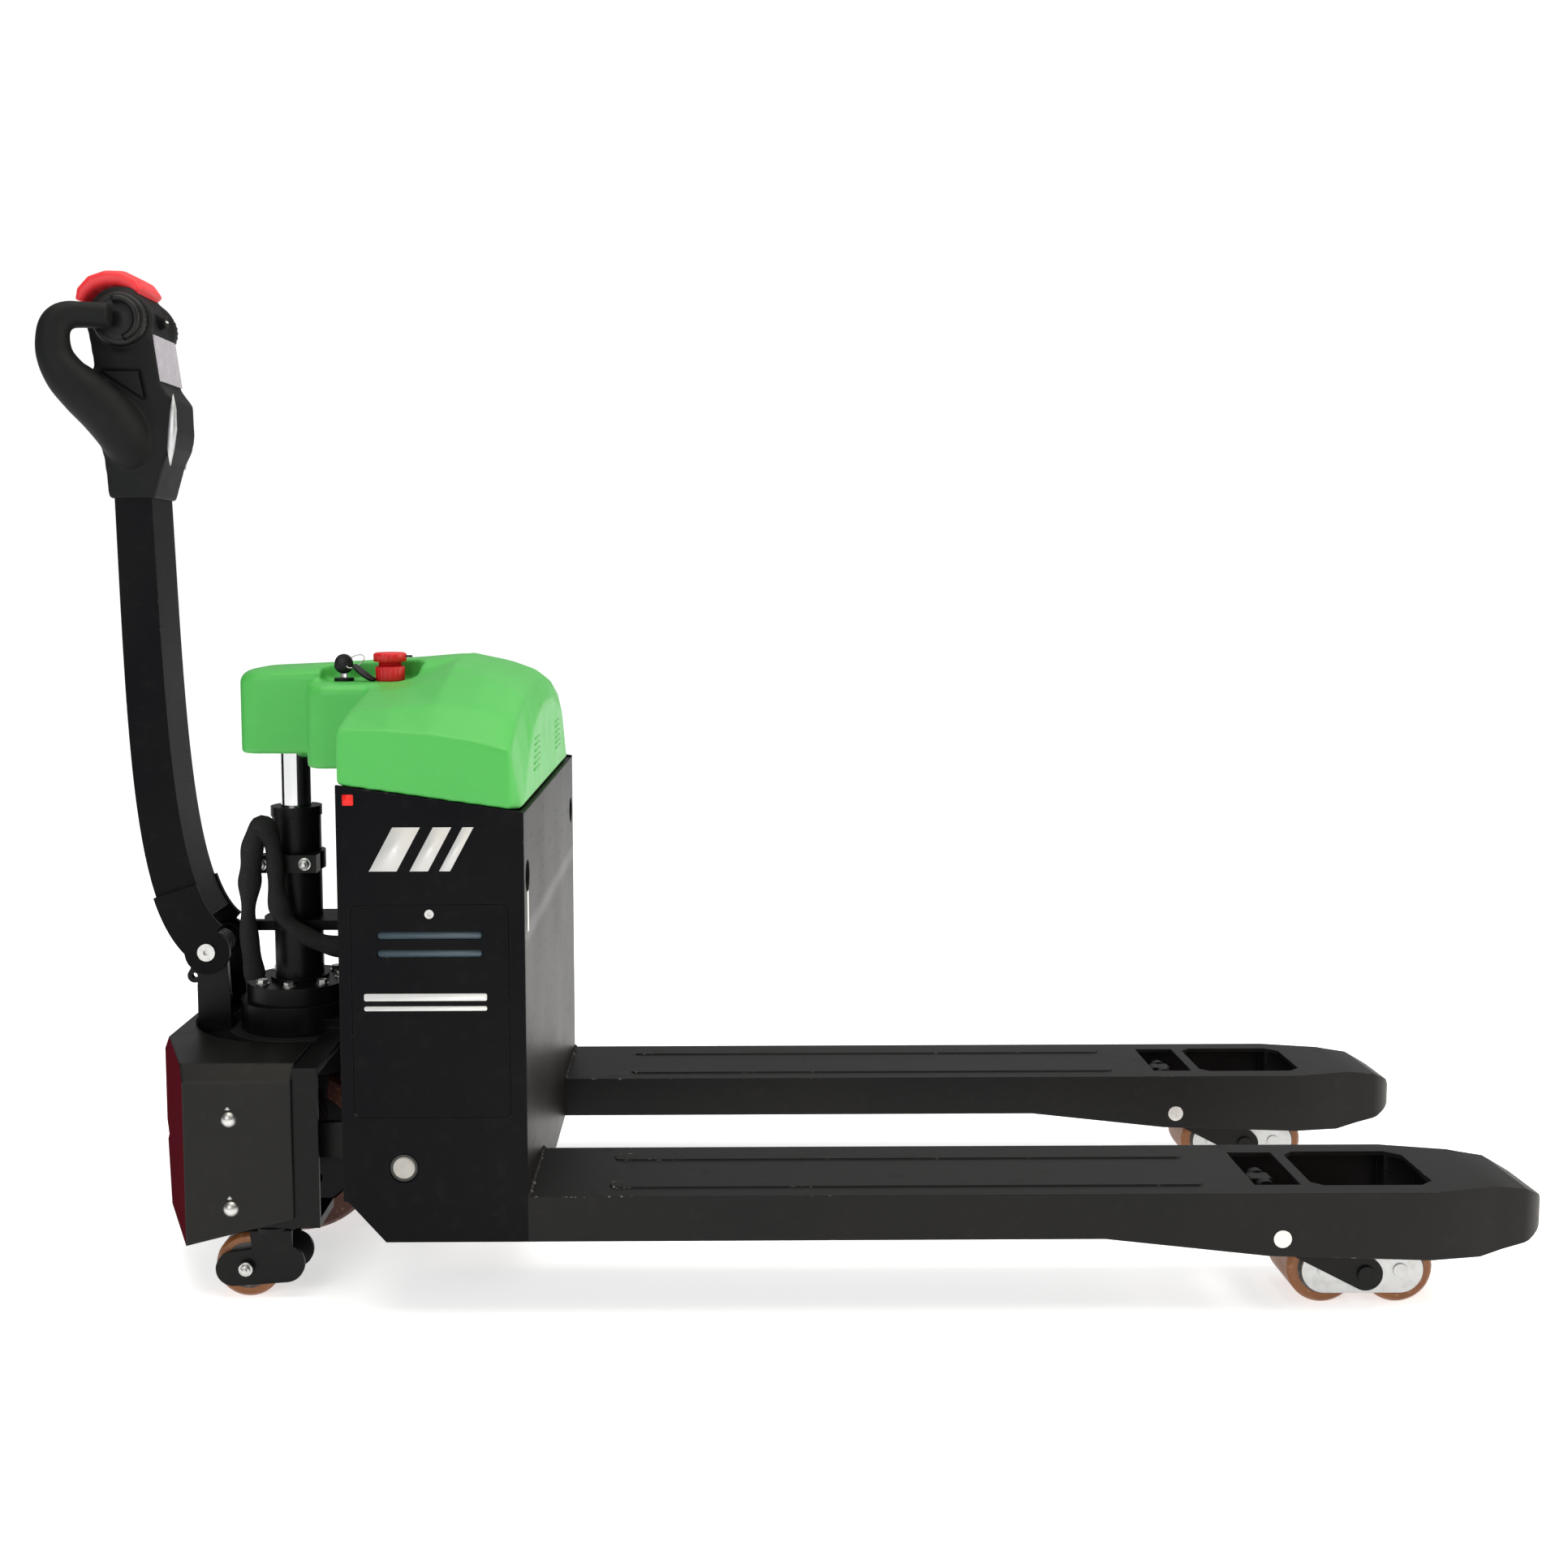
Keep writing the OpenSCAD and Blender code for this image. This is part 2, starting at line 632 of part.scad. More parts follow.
module caster_fork(left) {
    on_side(left) difference() {
        union() {
            bar_z(caster_x, caster_half, stem_r, caster_d + 3, caster_plate_z + caster_plate_t + 1);
            bar_z(caster_x, caster_half, stem_r + 5, caster_plate_z + caster_plate_t + gap,
                caster_plate_z + caster_plate_t + 7);
            bar_z(caster_x, caster_half, 26, caster_d + 2, caster_plate_z - gap);
            for (s = [-1, 1]) translate([0, caster_half + s * (caster_w / 2 + 4), 0]) {
                wall_y(link([caster_x - caster_trail - 16, caster_r - 2], 20,
                    [caster_x + 16, caster_r + 4], 22), -2, 2);
                wall_y([[caster_x - 20, caster_r], [caster_x - 24, caster_d + 5],
                    [caster_x + 24, caster_d + 5], [caster_x + 24, caster_r]], -2, 2);
            }
            bar_y(caster_x - caster_trail, caster_r, 5, caster_half - caster_w / 2 - 12,
                caster_half + caster_w / 2 + 12);
            for (s = [-1, 1]) bar_y(caster_x - caster_trail, caster_r, 9,
                caster_half + s * (caster_w / 2 + 8) - 2, caster_half + s * (caster_w / 2 + 8) + 2);
        }
        bar_z(caster_x, caster_half, 3, caster_plate_z, caster_plate_z + 40);
    }
}

module caster_fork_left() color(paint) placed() caster_fork(true);

module caster_fork_right() color(paint) placed() caster_fork(false);

// wheel with a crowned tread
module wheel_y(x, z, r, w, bore, crown) {
    translate([x, 0, z]) rotate([90, 0, 0]) rotate_extrude($fn = 96) polygon([
        [bore, -w / 2], [r - crown, -w / 2], [r, -w / 2 + crown], [r, w / 2 - crown],
        [r - crown, w / 2], [bore, w / 2]]);
}

module caster_wheel(left) {
    on_side(left) translate([0, caster_half, 0])
        wheel_y(caster_x - caster_trail, caster_r, caster_r, caster_w, 5 + run_fit, 4);
}

module caster_wheel_left() color(tread) placed() caster_wheel(true);

module caster_wheel_right() color(tread) placed() caster_wheel(false);

// ---------------------------------------------------------------- drive unit

module turntable() color([0.2, 0.2, 0.22]) placed() union() {
    bar_z(axis_x, 0, turn_r, turn_z0, ring_z0 - gap);
    bar_z(axis_x, 0, spigot_r, turn_z0, ring_z1 - 8);
    block(pivot_x - 14, -30, turn_z0, axis_x, 30, ring_z0 - gap);
}

drive_r = drive_d / 2;
hub_inset = 1.5;
side_gear_y = drive_w / 2 + 4;

module gearbox() color([0.25, 0.26, 0.28]) placed() difference() {
    union() {
        bar_z(axis_x, 0, 84, drive_d + 5, turn_z0);
        wall_y(link([axis_x, drive_r], 46, [axis_x, drive_d + 2], 60), side_gear_y, side_gear_y + 44);
        wall_y(link([axis_x, drive_r], 30, [axis_x, drive_d + 2], 44), -side_gear_y - 12, -side_gear_y);
        bar_y(axis_x, drive_r, drive_axle_r, -side_gear_y - 4, side_gear_y + 4);
    }
    block(axis_x - turn_r, -turn_r, turn_z0, axis_x + turn_r, turn_r, ring_z0 + 20);
}

motor_y0 = -side_gear_y - 12;
motor_y1 = -102;

module drive_motor() color([0.12, 0.12, 0.14]) placed() union() {
    bar_y(axis_x, drive_r + 55, motor_r - 3, motor_y1, motor_y0);
    for (i = [0:3]) bar_y(axis_x, drive_r + 55, motor_r, motor_y1 + 2 + 13 * i, motor_y1 + 8 + 13 * i);
}

module drive_hub() color([0.4, 0.41, 0.43]) placed() difference() {
    wheel_y(axis_x, drive_r, drive_r - 28, drive_w - 4, drive_axle_r + run_fit, 2);
    for (a = [0:60:300]) translate([axis_x, 0, drive_r]) rotate([0, a, 0])
        bar_y(42, 0, 9, -drive_w, drive_w);
}

module drive_tyre() color(tread) placed() wheel_y(axis_x, drive_r, drive_r, drive_w, drive_r - 28, 5);

ear_x0 = pivot_x - 15;
ear_x1 = axis_x - 78;

module tiller_base() color(paint) placed() difference() {
    union() {
        both_sides() {
            wall_y(link([pivot_x, pivot_z], boss_r, [pivot_x + 8, ring_z1], boss_r - 4),
                ear_y1 - ear_t, ear_y1);
            wall_y(link([pivot_x, pivot_z - 10], 14, [pivot_x, pivot_z] + lug, lug_r),
                ear_y1 - ear_t, ear_y1);
            block(ear_x0, ear_y1 - ear_t, ring_z0 - gap, ear_x1, ear_y1, ring_z1 + 10);
        }
        block(ear_x0, -ear_y1, ring_z0 - gap, ear_x1, ear_y1, ring_z0 + 14);
        block(ear_x0, -ear_y1, ring_z0 - gap, ear_x0 + 7, ear_y1, ring_z1 + 22);
    }
    bar_y(pivot_x, pivot_z, tiller_pin_r + run_fit, -60, 60);
    bar_y(pivot_x + lug[0], pivot_z + lug[1], 3.5, -60, 60);
}

spring_r = 15;
spring_wire = 5;

// coils of the return spring, drawn as rings on the pivot
module tiller_spring() color([0.3, 0.3, 0.32]) placed() for (i = [-2:2]) translate([pivot_x, i * 9, pivot_z])
    rotate([90, 0, 0]) rotate_extrude() translate([spring_r, 0]) circle(d = spring_wire);

// ---------------------------------------------------------------- tiller

arm_curve = [[neck_x, neck_z + 5], [neck_x + 8, pivot_z + neck_rise / 2], [pivot_x - 67, pivot_z + 64],
    [pivot_x, pivot_z + 11]];
arm_steps = 28;

function arm_point(t) = bezier(arm_curve, t);

function arm_normal(t) =
    let (u = min(max(t, 0.01), 0.99), d = arm_point(u + 0.01) - arm_point(u - 0.01)) unit([d[1], -d[0]]);

function arm_edge(t, inset, side) =
    arm_point(t) + side * (tiller_depth / 2 + 5 * t - inset) * arm_normal(t);

function arm_outline(t0, t1, inset) = concat(
    [for (i = [0:arm_steps]) arm_edge(t0 + (t1 - t0) * i / arm_steps, inset, 1)],
    [for (i = [arm_steps:-1:0]) arm_edge(t0 + (t1 - t0) * i / arm_steps, inset, -1)]);

cheek_t0 = 0.76;

module tiller_arm() color(paint) placed() difference() {
    union() {
        wall_y(arm_outline(0, 1, 0), -tiller_w / 2, tiller_w / 2);
        both_sides() {
            wall_y(arm_outline(cheek_t0, 1, -1.5), cheek_y, cheek_y + cheek_t);
            bar_y(pivot_x, pivot_z, boss_r + 6, cheek_y, cheek_y + cheek_t);
        }
    }
    wall_y(arm_outline(-0.02, 0.93, tiller_wall), -tiller_w / 2 + tiller_wall, tiller_w / 2 - tiller_wall);
    bar_y(pivot_x, pivot_z, norm(lug) + lug_r + 2 * gap, -tiller_w / 2, tiller_w / 2);
    bar_y(pivot_x, pivot_z, tiller_pin_r, -60, 60);
}

module tiller_pin() color(steel) placed() difference() {
    union() {
        bar_y(pivot_x, pivot_z, tiller_pin_r, -cheek_y - cheek_t - 1, cheek_y + cheek_t + 1);
        both_sides() bar_y(pivot_x, pivot_z, tiller_pin_r + 3, cheek_y + cheek_t, cheek_y + cheek_t + 3);
    }
    both_sides() bar_y(pivot_x, pivot_z, 3.5, cheek_y + cheek_t, cheek_y + cheek_t + 10);
}

// side outline of the head's housing, from the neck round the hub
function head_outline() = concat(
    [[head_x - 16, neck_z], [head_x - 20, neck_z + 46], [head_x - 30, neck_z + 84],
        [head_x - 34, neck_z + 120], [head_x - 33, neck_z + 160]],
    arc([head_x, hub_z], hub_r, 200, 62, 18),
    [[head_x + 32, neck_z + 232], [head_x + 36, neck_z + 216], [head_x + 38, neck_z + 198],
        [head_x + 46, neck_z + 138], [head_x + 60, neck_z + 121], [head_x + 61, neck_z + 95],
        [head_x + 56, neck_z + 60], [head_x + 46, neck_z + 28], [head_x + 42, neck_z]]);

shaft_r = 6;
shaft_x = head_x + 4;
key_w = 2.2;
button_x = [head_x - 26, head_x + 20];
button_z = [neck_z + 153, neck_z + 119];

// triangle of the side buttons, drawn in by the amount d
function button_outline(d) = [
    [button_x[0] + 2.5 * d, button_z[0] - d], [button_x[1] - d, button_z[0] - d],
    [button_x[1] + 6 - d, button_z[1] + 2 * d]];

horn_z = neck_z + 217;

module tiller_head() color(plastic) placed() difference() {
    wall_y(head_outline(), -head_half, head_half);
    // socket over the top of the tiller tube
    wall_y(arm_outline(-0.02, 0.1, -0.2), -tiller_w / 2 - 0.2, tiller_w / 2 + 0.2);
    bar_y(shaft_x, hub_z, shaft_r + run_fit, -60, 60);
    both_sides() wall_y(button_outline(0), head_half - 5, head_half + 5);
    // seat of the display and of the horn button on the front face
    translate([head_x + 36, 0, neck_z + 198]) rotate([0, -7.6, 0])
        block(0.6, -head_half + 4, -58, 20, head_half - 4, -2);
    bar_x(0, horn_z, 8 + gap, head_x + 30, head_x + 60);
}

module display_panel() color([0.62, 0.6, 0.64]) placed()
    translate([head_x + 36, 0, neck_z + 198]) rotate([0, -7.6, 0])
        block(0.6, -head_half + 4, -58, 2.6, head_half - 4, -2);

module horn_button() color(plastic) placed() bar_x(0, horn_z, 8, head_x + 31 + 3, head_x + 42);

module side_button(left) {
    on_side(left) wall_y(button_outline(gap), head_half - 2.5, head_half + 1);
}

module raise_button() color(plastic) placed() side_button(false);

module lower_button() color(plastic) placed() side_button(true);

cap_travel = 5;

module reverse_button() color(red) placed() wall_y(concat(
    arc([head_x, hub_z], hub_r + cap_travel + gap, 148, 54, 16),
    [[head_x + 38, neck_z + 243], [head_x + 36, neck_z + 254], [head_x + 24, neck_z + 267],
        [head_x + 4, neck_z + 276], [head_x - 18, neck_z + 276], [head_x - 38, neck_z + 266],
        [head_x - 49, neck_z + 250], [head_x - 51, neck_z + 238]]), -head_half, head_half);

wing_y0 = head_half + 23;
wing_t = 12;
wing_r = 34;

module butterfly() color(plastic) placed() union() {
    bar_y(shaft_x, hub_z, shaft_r, -wing_y0 - 2, wing_y0 + 2);
    both_sides() {
        bar_y(shaft_x, hub_z, wing_r, wing_y0, wing_y0 + wing_t);
        wall_y(link([shaft_x, hub_z], 14, [shaft_x + 10, hub_z + 26], 7), wing_y0 + wing_t - 1,
            wing_y0 + wing_t + 9);
    }
}

// centre line of a grip, from the hub out and back into the lower housing
function grip_path() = [
    [head_x - 12, head_half - 13, hub_z + 2], [head_x - 30, head_half, hub_z + 2],
    [head_x - 48, grip_reach - 34, hub_z + 1], [head_x - 61, grip_reach - 14, hub_z - 6],
    [head_x - 67, grip_reach - 3, hub_z - 24], [head_x - 60, grip_reach, hub_z - 48],
    [head_x - 47, grip_reach - 7, hub_z - 72], [head_x - 28, grip_reach - 24, hub_z - 100],
    [head_x - 6, head_half + 1, hub_z - 128], [head_x + 10, head_half - 21, hub_z - 150]];

module grips() color(plastic) placed() both_sides() difference() {
    let (p = spline(grip_path(), 3), m = len(p) - 1)
        tube(p, [for (i = [0:m]) 15 + 7 * min(1, max(0, i / m - 0.4) * 2)], [0.5, 0, 1], 16);
    wall_y(head_outline(), -head_half, head_half);
}

// ---------------------------------------------------------------- hood and its controls

hood_x0 = box_x + 1;
hood_x1 = -4;
hood_half = box_half - 1;
step_x0 = axis_x + 40;
step_half = 118;
nose_x0 = axis_x - 52;
nose_top = box_top + 116;

// slope of the hood's foot, which follows the side plates
function foot_z(x) = box_top - top_fall * (x - box_x) / box_depth;

// one section of the hood across X, drawn in by the amount d
module hood_section(x, crease, shoulder_half, shoulder, crown, d) {
    wall_x([[-hood_half + d, foot_z(x) - (d > 0 ? 40 : 0)], [-hood_half + d, foot_z(x) + crease],
        [-shoulder_half + d, foot_z(x) + shoulder - d], [-30, foot_z(x) + crown - d],
        [30, foot_z(x) + crown - d], [shoulder_half - d, foot_z(x) + shoulder - d],
        [hood_half - d, foot_z(x) + crease], [hood_half - d, foot_z(x) - (d > 0 ? 40 : 0)]], x, x + 0.5);
}

module hood_body(d) hull() {
    hood_section(hood_x0 + d, crease_h, 140, 92, crown_h - 14, d);
    hood_section(-100, crease_h + 7, 150, 106, crown_h + 8, d);
    hood_section(-40, crease_h + 8, 155, 92, crown_h - 18, d);
    hood_section(hood_x1 - d, crease_h + 6, 150, 78, crown_h - 30, d);
}

module hood_step(d) linear_extrude(box_top + 99 - d)
    polygon(slab(step_x0 + d, -step_half + d, hood_x0 + 30, step_half - d, 16));

module hood_nose(d) linear_extrude(nose_top - d)
    polygon(slab(nose_x0 + d, -nose_half + d, hood_x0 + 60, nose_half - d, 14));

estop_x = axis_x + 134;
key_x = axis_x + 78;
control_y = -60;
deck_z = box_top + 99;

module hood() color(lime) placed() difference() {
    union() {
        hood_body(0);
        hood_step(0);
        hood_nose(0);
    }
    hood_body(hood_wall);
    hood_step(hood_wall);
    hood_nose(hood_wall);
    // foot of the nose and of the step
    block(nose_x0 - 50, -hood_half - 10, -10, step_x0, hood_half + 10, box_top + 11);
    block(step_x0 - 1, -hood_half - 10, -10, hood_x0, hood_half + 10, box_top - 3);
    block(hood_x0 - 1, -hood_half - 10, -10, 10, hood_half + 10, box_top_heel);
    wall_y([[hood_x0 - 1, box_top_heel - 10], [hood_x0 - 1, foot_z(hood_x0 - 1)], [1, foot_z(1)],
        [1, box_top_heel - 10]], -hood_half - 10, hood_half + 10);
    // pocket for the key and the stop button, and their holes
    block(key_x - 24, control_y - 26, deck_z, estop_x + 36, control_y + 28, deck_z + 60);
    bar_z(estop_x, control_y, 14, deck_z - 30, deck_z + 5);
    bar_z(key_x, control_y, 9, deck_z - 30, deck_z + 5);
}

estop_travel = 5;
estop_top = deck_z + 18;

module estop_base() color(red) placed() difference() {
    union() {
        bar_z(estop_x, control_y, 17, deck_z, estop_top);
        bar_z(estop_x, control_y, 14, deck_z - 24, deck_z);
    }
    bar_z(estop_x, control_y, 10 + run_fit, deck_z - 18, estop_top + 5);
}

module estop_button() color(red) placed() union() {
    bar_z(estop_x, control_y, 20, estop_top + estop_travel + gap, estop_top + estop_travel + 12);
    bar_z(estop_x, control_y, 10, deck_z - 10, estop_top + estop_travel + 2);
}

module key_switch() color([0.15, 0.15, 0.16]) placed() difference() {
    union() {
        bar_z(key_x, control_y, 12, deck_z, deck_z + 4);
        bar_z(key_x, control_y, 9, deck_z - 26, deck_z);
    }
    bar_z(key_x, control_y, 5 + run_fit, deck_z - 12, deck_z + 10);
}

module key() color([0.13, 0.13, 0.14]) placed() union() {
    bar_z(key_x, control_y, 5, deck_z - 11, deck_z + 5);
    block(key_x - 5, control_y - 1.5, deck_z + 4, key_x + 5, control_y + 1.5, deck_z + 10);
    wall_y(slab(key_x - 10, deck_z + 9, key_x + 10, deck_z + 33, 8), control_y - 3, control_y + 3);
}

// ---------------------------------------------------------------- lift linkage

slot_in = rocker_r - 3;
slot_out = rocker_r + 13;
rod_r_bar = 10;

module rocker() color(paint) placed() difference() {
    union() {
        bar_y(rocker_x, rocker_z, rocker_tube_r, -lever_y1, lever_y1);
        both_sides() {
            wall_y(link([rocker_x, rocker_z], rocker_tube_r + 4, [base_pin_x - 4, base_pin_z], 18),
                lever_y0, lever_y1);
            wall_y(link([rocker_x, rocker_z], rocker_tube_r + 4, [rocker_x, eye_z], 14),
                lever_y0, lever_y1);
            bar_y(rocker_x, eye_z, link_pin_r, lever_y1, rod_eye_y1 + 2);
        }
    }
    both_sides() {
        bar_y(rocker_x, rocker_z, rocker_pin_r + run_fit, lever_y0 - 32, lever_y1 + 5);
        wall_y(link([rocker_x - slot_in, base_pin_z], link_pin_r + 2.5,
            [rocker_x - slot_out, base_pin_z], link_pin_r + 2.6), lever_y0 - 5, lever_y1 + 5);
    }
}

rod_end_x = arm_pivot_x;
end_half = 9;
arm_tube_r = arm_pin_r + 3.5;
end_z0 = arm_pivot_z + arm_tube_r + gap;

module push_rods() color(paint) placed() both_sides() difference() {
    union() {
        bar_y(rocker_x, eye_z, 14, rod_eye_y0, rod_eye_y1);
        bar_x((rod_eye_y0 + rod_eye_y1) / 2, eye_z, rod_r_bar, rocker_x + 5, rod_end_x - 8);
        wall_y(slab(rod_end_x - 16, end_z0, rod_end_x + 13, eye_z + link_pin_r + 2.5, 5),
            fork_y - end_half, fork_y + end_half);
    }
    bar_y(rocker_x, eye_z, link_pin_r + run_fit, rod_eye_y0 - 5, rod_eye_y1 + 5);
    // tall slot round the arm's eye pin: the open pivot of the linkage
    wall_y(slab(rod_end_x - link_pin_r - 2, end_z0 + 2, rod_end_x + link_pin_r + 2, eye_z + link_pin_r + gap,
        link_pin_r), fork_y - end_half - 5, fork_y + end_half + 5);
}

module roller_arm(left) {
    on_side(left) translate([0, fork_y, 0]) difference() {
        union() {
            for (s = [-1, 1]) translate([0, s * (arm_plate_y + arm_plate_t / 2), 0]) {
                wall_y(link([arm_pivot_x, arm_pivot_z], 17, [bogie_x, bogie_z], 19),
                    -arm_plate_t / 2, arm_plate_t / 2);
            }
            for (s = [-1, 1]) translate([0, s * 16, 0])
                wall_y(link([arm_pivot_x, arm_pivot_z], 17, [arm_pivot_x, eye_z], 12), -5, 5);
            bar_y(arm_pivot_x, arm_pivot_z, arm_tube_r, -arm_plate_y, arm_plate_y);
            bar_y(arm_pivot_x, eye_z, link_pin_r, -21, 21);
            both_sides() bar_y(bogie_x, bogie_z, bogie_pin_r, bogie_plate_y + gap, arm_plate_y + arm_plate_t + 3);
        }
        bar_y(arm_pivot_x, arm_pivot_z, arm_pin_r + run_fit, -fork_width, fork_width);
    }
}

module roller_arm_left() color(paint) placed() roller_arm(true);

module roller_arm_right() color(paint) placed() roller_arm(false);

module bogie(left) {
    on_side(left) translate([0, fork_y, 0]) difference() {
        union() {
            for (s = [-1, 1]) translate([0, s * (bogie_plate_y + bogie_plate_t / 2), 0])
                wall_y(link([bogie_x - roller_pitch / 2, bogie_z], 26, [bogie_x + roller_pitch / 2, bogie_z], 26.1),
                    -bogie_plate_t / 2, bogie_plate_t / 2);
            for (s = [-1, 1]) {
                bar_y(bogie_x + s * roller_pitch / 2, bogie_z, roller_axle_r,
                    -bogie_plate_y - 1, bogie_plate_y + 1);
                for (q = [-1, 1]) translate([bogie_x + s * roller_pitch / 2,
                    q * (bogie_plate_y + bogie_plate_t + 0.4), bogie_z])
                    rotate([90, 0, 0]) cylinder(r = 8, h = 1.6, center = true);
            }
        }
        bar_y(bogie_x, bogie_z, bogie_pin_r + run_fit, -fork_width, fork_width);
    }
}

module bogie_left() color(steel) placed() bogie(true);

module bogie_right() color(steel) placed() bogie(false);

module roller(left, s) {
    on_side(left) translate([0, fork_y, 0])
        wheel_y(bogie_x + s * roller_pitch / 2, bogie_z, roller_r, roller_w, roller_axle_r + run_fit, 4);
}

module roller_left_heel() color(tread) placed() roller(true, -1);

module roller_left_tip() color(tread) placed() roller(true, 1);

module roller_right_heel() color(tread) placed() roller(false, -1);

module roller_right_tip() color(tread) placed() roller(false, 1);

// ---------------------------------------------------------------- nodes

fork_left();
fork_right();
face_plate();
side_plate_left();
side_plate_right();
box_back();
access_panels();
panel_screws();
linkage_pins();
fork_pins();
battery();
controller();
hydraulic_unit();
head_bracket();
guide_bracket();
hood();
estop_base();
key_switch();
piston_rod();
estop_button();
key();
cylinder_tube();
cylinder_gland();
cylinder_bolts();
clamp_band();
harness();
caster_frame();
front_cover();
cover_screws();
turntable();
gearbox();
drive_motor();
tiller_base();
tiller_spring();
drive_hub();
drive_tyre();
tiller_arm();
tiller_pin();
tiller_head();
grips();
display_panel();
butterfly();
reverse_button();
raise_button();
lower_button();
horn_button();
caster_fork_left();
caster_fork_right();
caster_wheel_left();
caster_wheel_right();
rocker();
push_rods();
roller_arm_left();
roller_arm_right();
bogie_left();
bogie_right();
roller_left_heel();
roller_left_tip();
roller_right_heel();
roller_right_tip();
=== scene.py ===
import json
import math
import bmesh
import bpy
from mathutils import Matrix, Vector, noise


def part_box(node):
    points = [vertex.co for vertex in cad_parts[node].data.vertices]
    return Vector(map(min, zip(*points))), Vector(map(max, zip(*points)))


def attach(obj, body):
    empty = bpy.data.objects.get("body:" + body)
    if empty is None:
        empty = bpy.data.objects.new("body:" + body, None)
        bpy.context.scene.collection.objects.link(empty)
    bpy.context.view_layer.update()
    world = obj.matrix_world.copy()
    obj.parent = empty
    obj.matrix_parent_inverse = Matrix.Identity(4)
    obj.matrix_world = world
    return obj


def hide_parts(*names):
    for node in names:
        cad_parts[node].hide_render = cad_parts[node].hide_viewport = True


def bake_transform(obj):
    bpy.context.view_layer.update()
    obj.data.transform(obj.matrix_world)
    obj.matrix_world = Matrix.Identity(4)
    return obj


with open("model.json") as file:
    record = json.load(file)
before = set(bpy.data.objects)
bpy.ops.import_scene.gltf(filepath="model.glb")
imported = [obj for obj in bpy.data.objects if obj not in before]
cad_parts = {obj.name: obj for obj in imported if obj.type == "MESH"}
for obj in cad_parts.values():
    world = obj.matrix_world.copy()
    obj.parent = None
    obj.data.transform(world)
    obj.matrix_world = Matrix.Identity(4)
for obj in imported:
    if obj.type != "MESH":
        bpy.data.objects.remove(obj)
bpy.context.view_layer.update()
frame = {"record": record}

# ---------------------------------------------------------------- places
# Sizes are in millimetres from the heel face, the centre plane and the floor, as in the CAD.
HEEL_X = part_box("face_plate")[1].x


def at(x, y, z):
    return Vector((HEEL_X + x / 1000, y / 1000, z / 1000))


def local(p):
    return ((p[0] - HEEL_X) * 1000, p[1] * 1000, p[2] * 1000)


def node_box(name):
    lo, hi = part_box(name)
    return local(lo), local(hi)


# ---------------------------------------------------------------- camera, floor, light
scene = bpy.context.scene
scene.view_settings.view_transform = "Standard"

YAW, PITCH, ROLL = 0.0042, 0.0760, 0.0028
IMAGE = 1932
FOCAL, CENTRE_X, CENTRE_Y = 1932.997, 896.126, 862.319
CAMERA_AT = (213.82, -1962.44, 819.46)
SENSOR = 36

camera_data = bpy.data.cameras.new("camera")
camera = bpy.data.objects.new("camera", camera_data)
scene.collection.objects.link(camera)
forward = Vector((math.sin(YAW) * math.cos(PITCH), math.cos(YAW) * math.cos(PITCH), -math.sin(PITCH)))
level = Vector((math.cos(YAW), -math.sin(YAW), 0))
down = forward.cross(level)
right = math.cos(ROLL) * level + math.sin(ROLL) * down
down = math.cos(ROLL) * down - math.sin(ROLL) * level
turn = Matrix((right, -down, -forward)).transposed().to_4x4()
camera.matrix_world = Matrix.Translation(at(*CAMERA_AT)) @ turn
camera_data.sensor_width = SENSOR
camera_data.lens = SENSOR * FOCAL / IMAGE
camera_data.shift_x = (IMAGE / 2 - CENTRE_X) / IMAGE
camera_data.shift_y = (CENTRE_Y - IMAGE / 2) / IMAGE
camera_data.clip_end = 100
scene.camera = camera

world = bpy.data.worlds.new("studio")
scene.world = world
world.use_nodes = True
wt = world.node_tree
wt.nodes.clear()
out = wt.nodes.new("ShaderNodeOutputWorld")
seen = wt.nodes.new("ShaderNodeBackground")
seen.inputs[0].default_value = (1, 1, 1, 1)
seen.inputs[1].default_value = 1.0
room = wt.nodes.new("ShaderNodeBackground")
coord = wt.nodes.new("ShaderNodeTexCoord")
split = wt.nodes.new("ShaderNodeSeparateXYZ")
sky = wt.nodes.new("ShaderNodeMapRange")
sky.inputs["From Min"].default_value = -0.1
sky.inputs["From Max"].default_value = 0.9
sky.inputs["To Min"].default_value = 0.30
sky.inputs["To Max"].default_value = 1.25
path = wt.nodes.new("ShaderNodeLightPath")
pick = wt.nodes.new("ShaderNodeMixShader")
wt.links.new(coord.outputs["Generated"], split.inputs[0])
wt.links.new(split.outputs["Z"], sky.inputs["Value"])


def shaded_room(value, axis, low, high, dim):
    """Dims the room towards one side."""
    side = wt.nodes.new("ShaderNodeMapRange")
    for name, v in (("From Min", low), ("From Max", high), ("To Min", dim), ("To Max", 1.0)):
        side.inputs[name].default_value = v
    wt.links.new(split.outputs[axis], side.inputs["Value"])
    product = wt.nodes.new("ShaderNodeMath")
    product.operation = "MULTIPLY"
    wt.links.new(value, product.inputs[0])
    wt.links.new(side.outputs[0], product.inputs[1])
    return product.outputs[0]


strength = shaded_room(shaded_room(sky.outputs[0], "Y", -0.9, 0.2, 0.28), "X", -0.9, 0.3, 0.30)
wt.links.new(strength, room.inputs[1])
wt.links.new(path.outputs["Is Camera Ray"], pick.inputs[0])
wt.links.new(room.outputs[0], pick.inputs[1])
wt.links.new(seen.outputs[0], pick.inputs[2])
wt.links.new(pick.outputs[0], out.inputs[0])


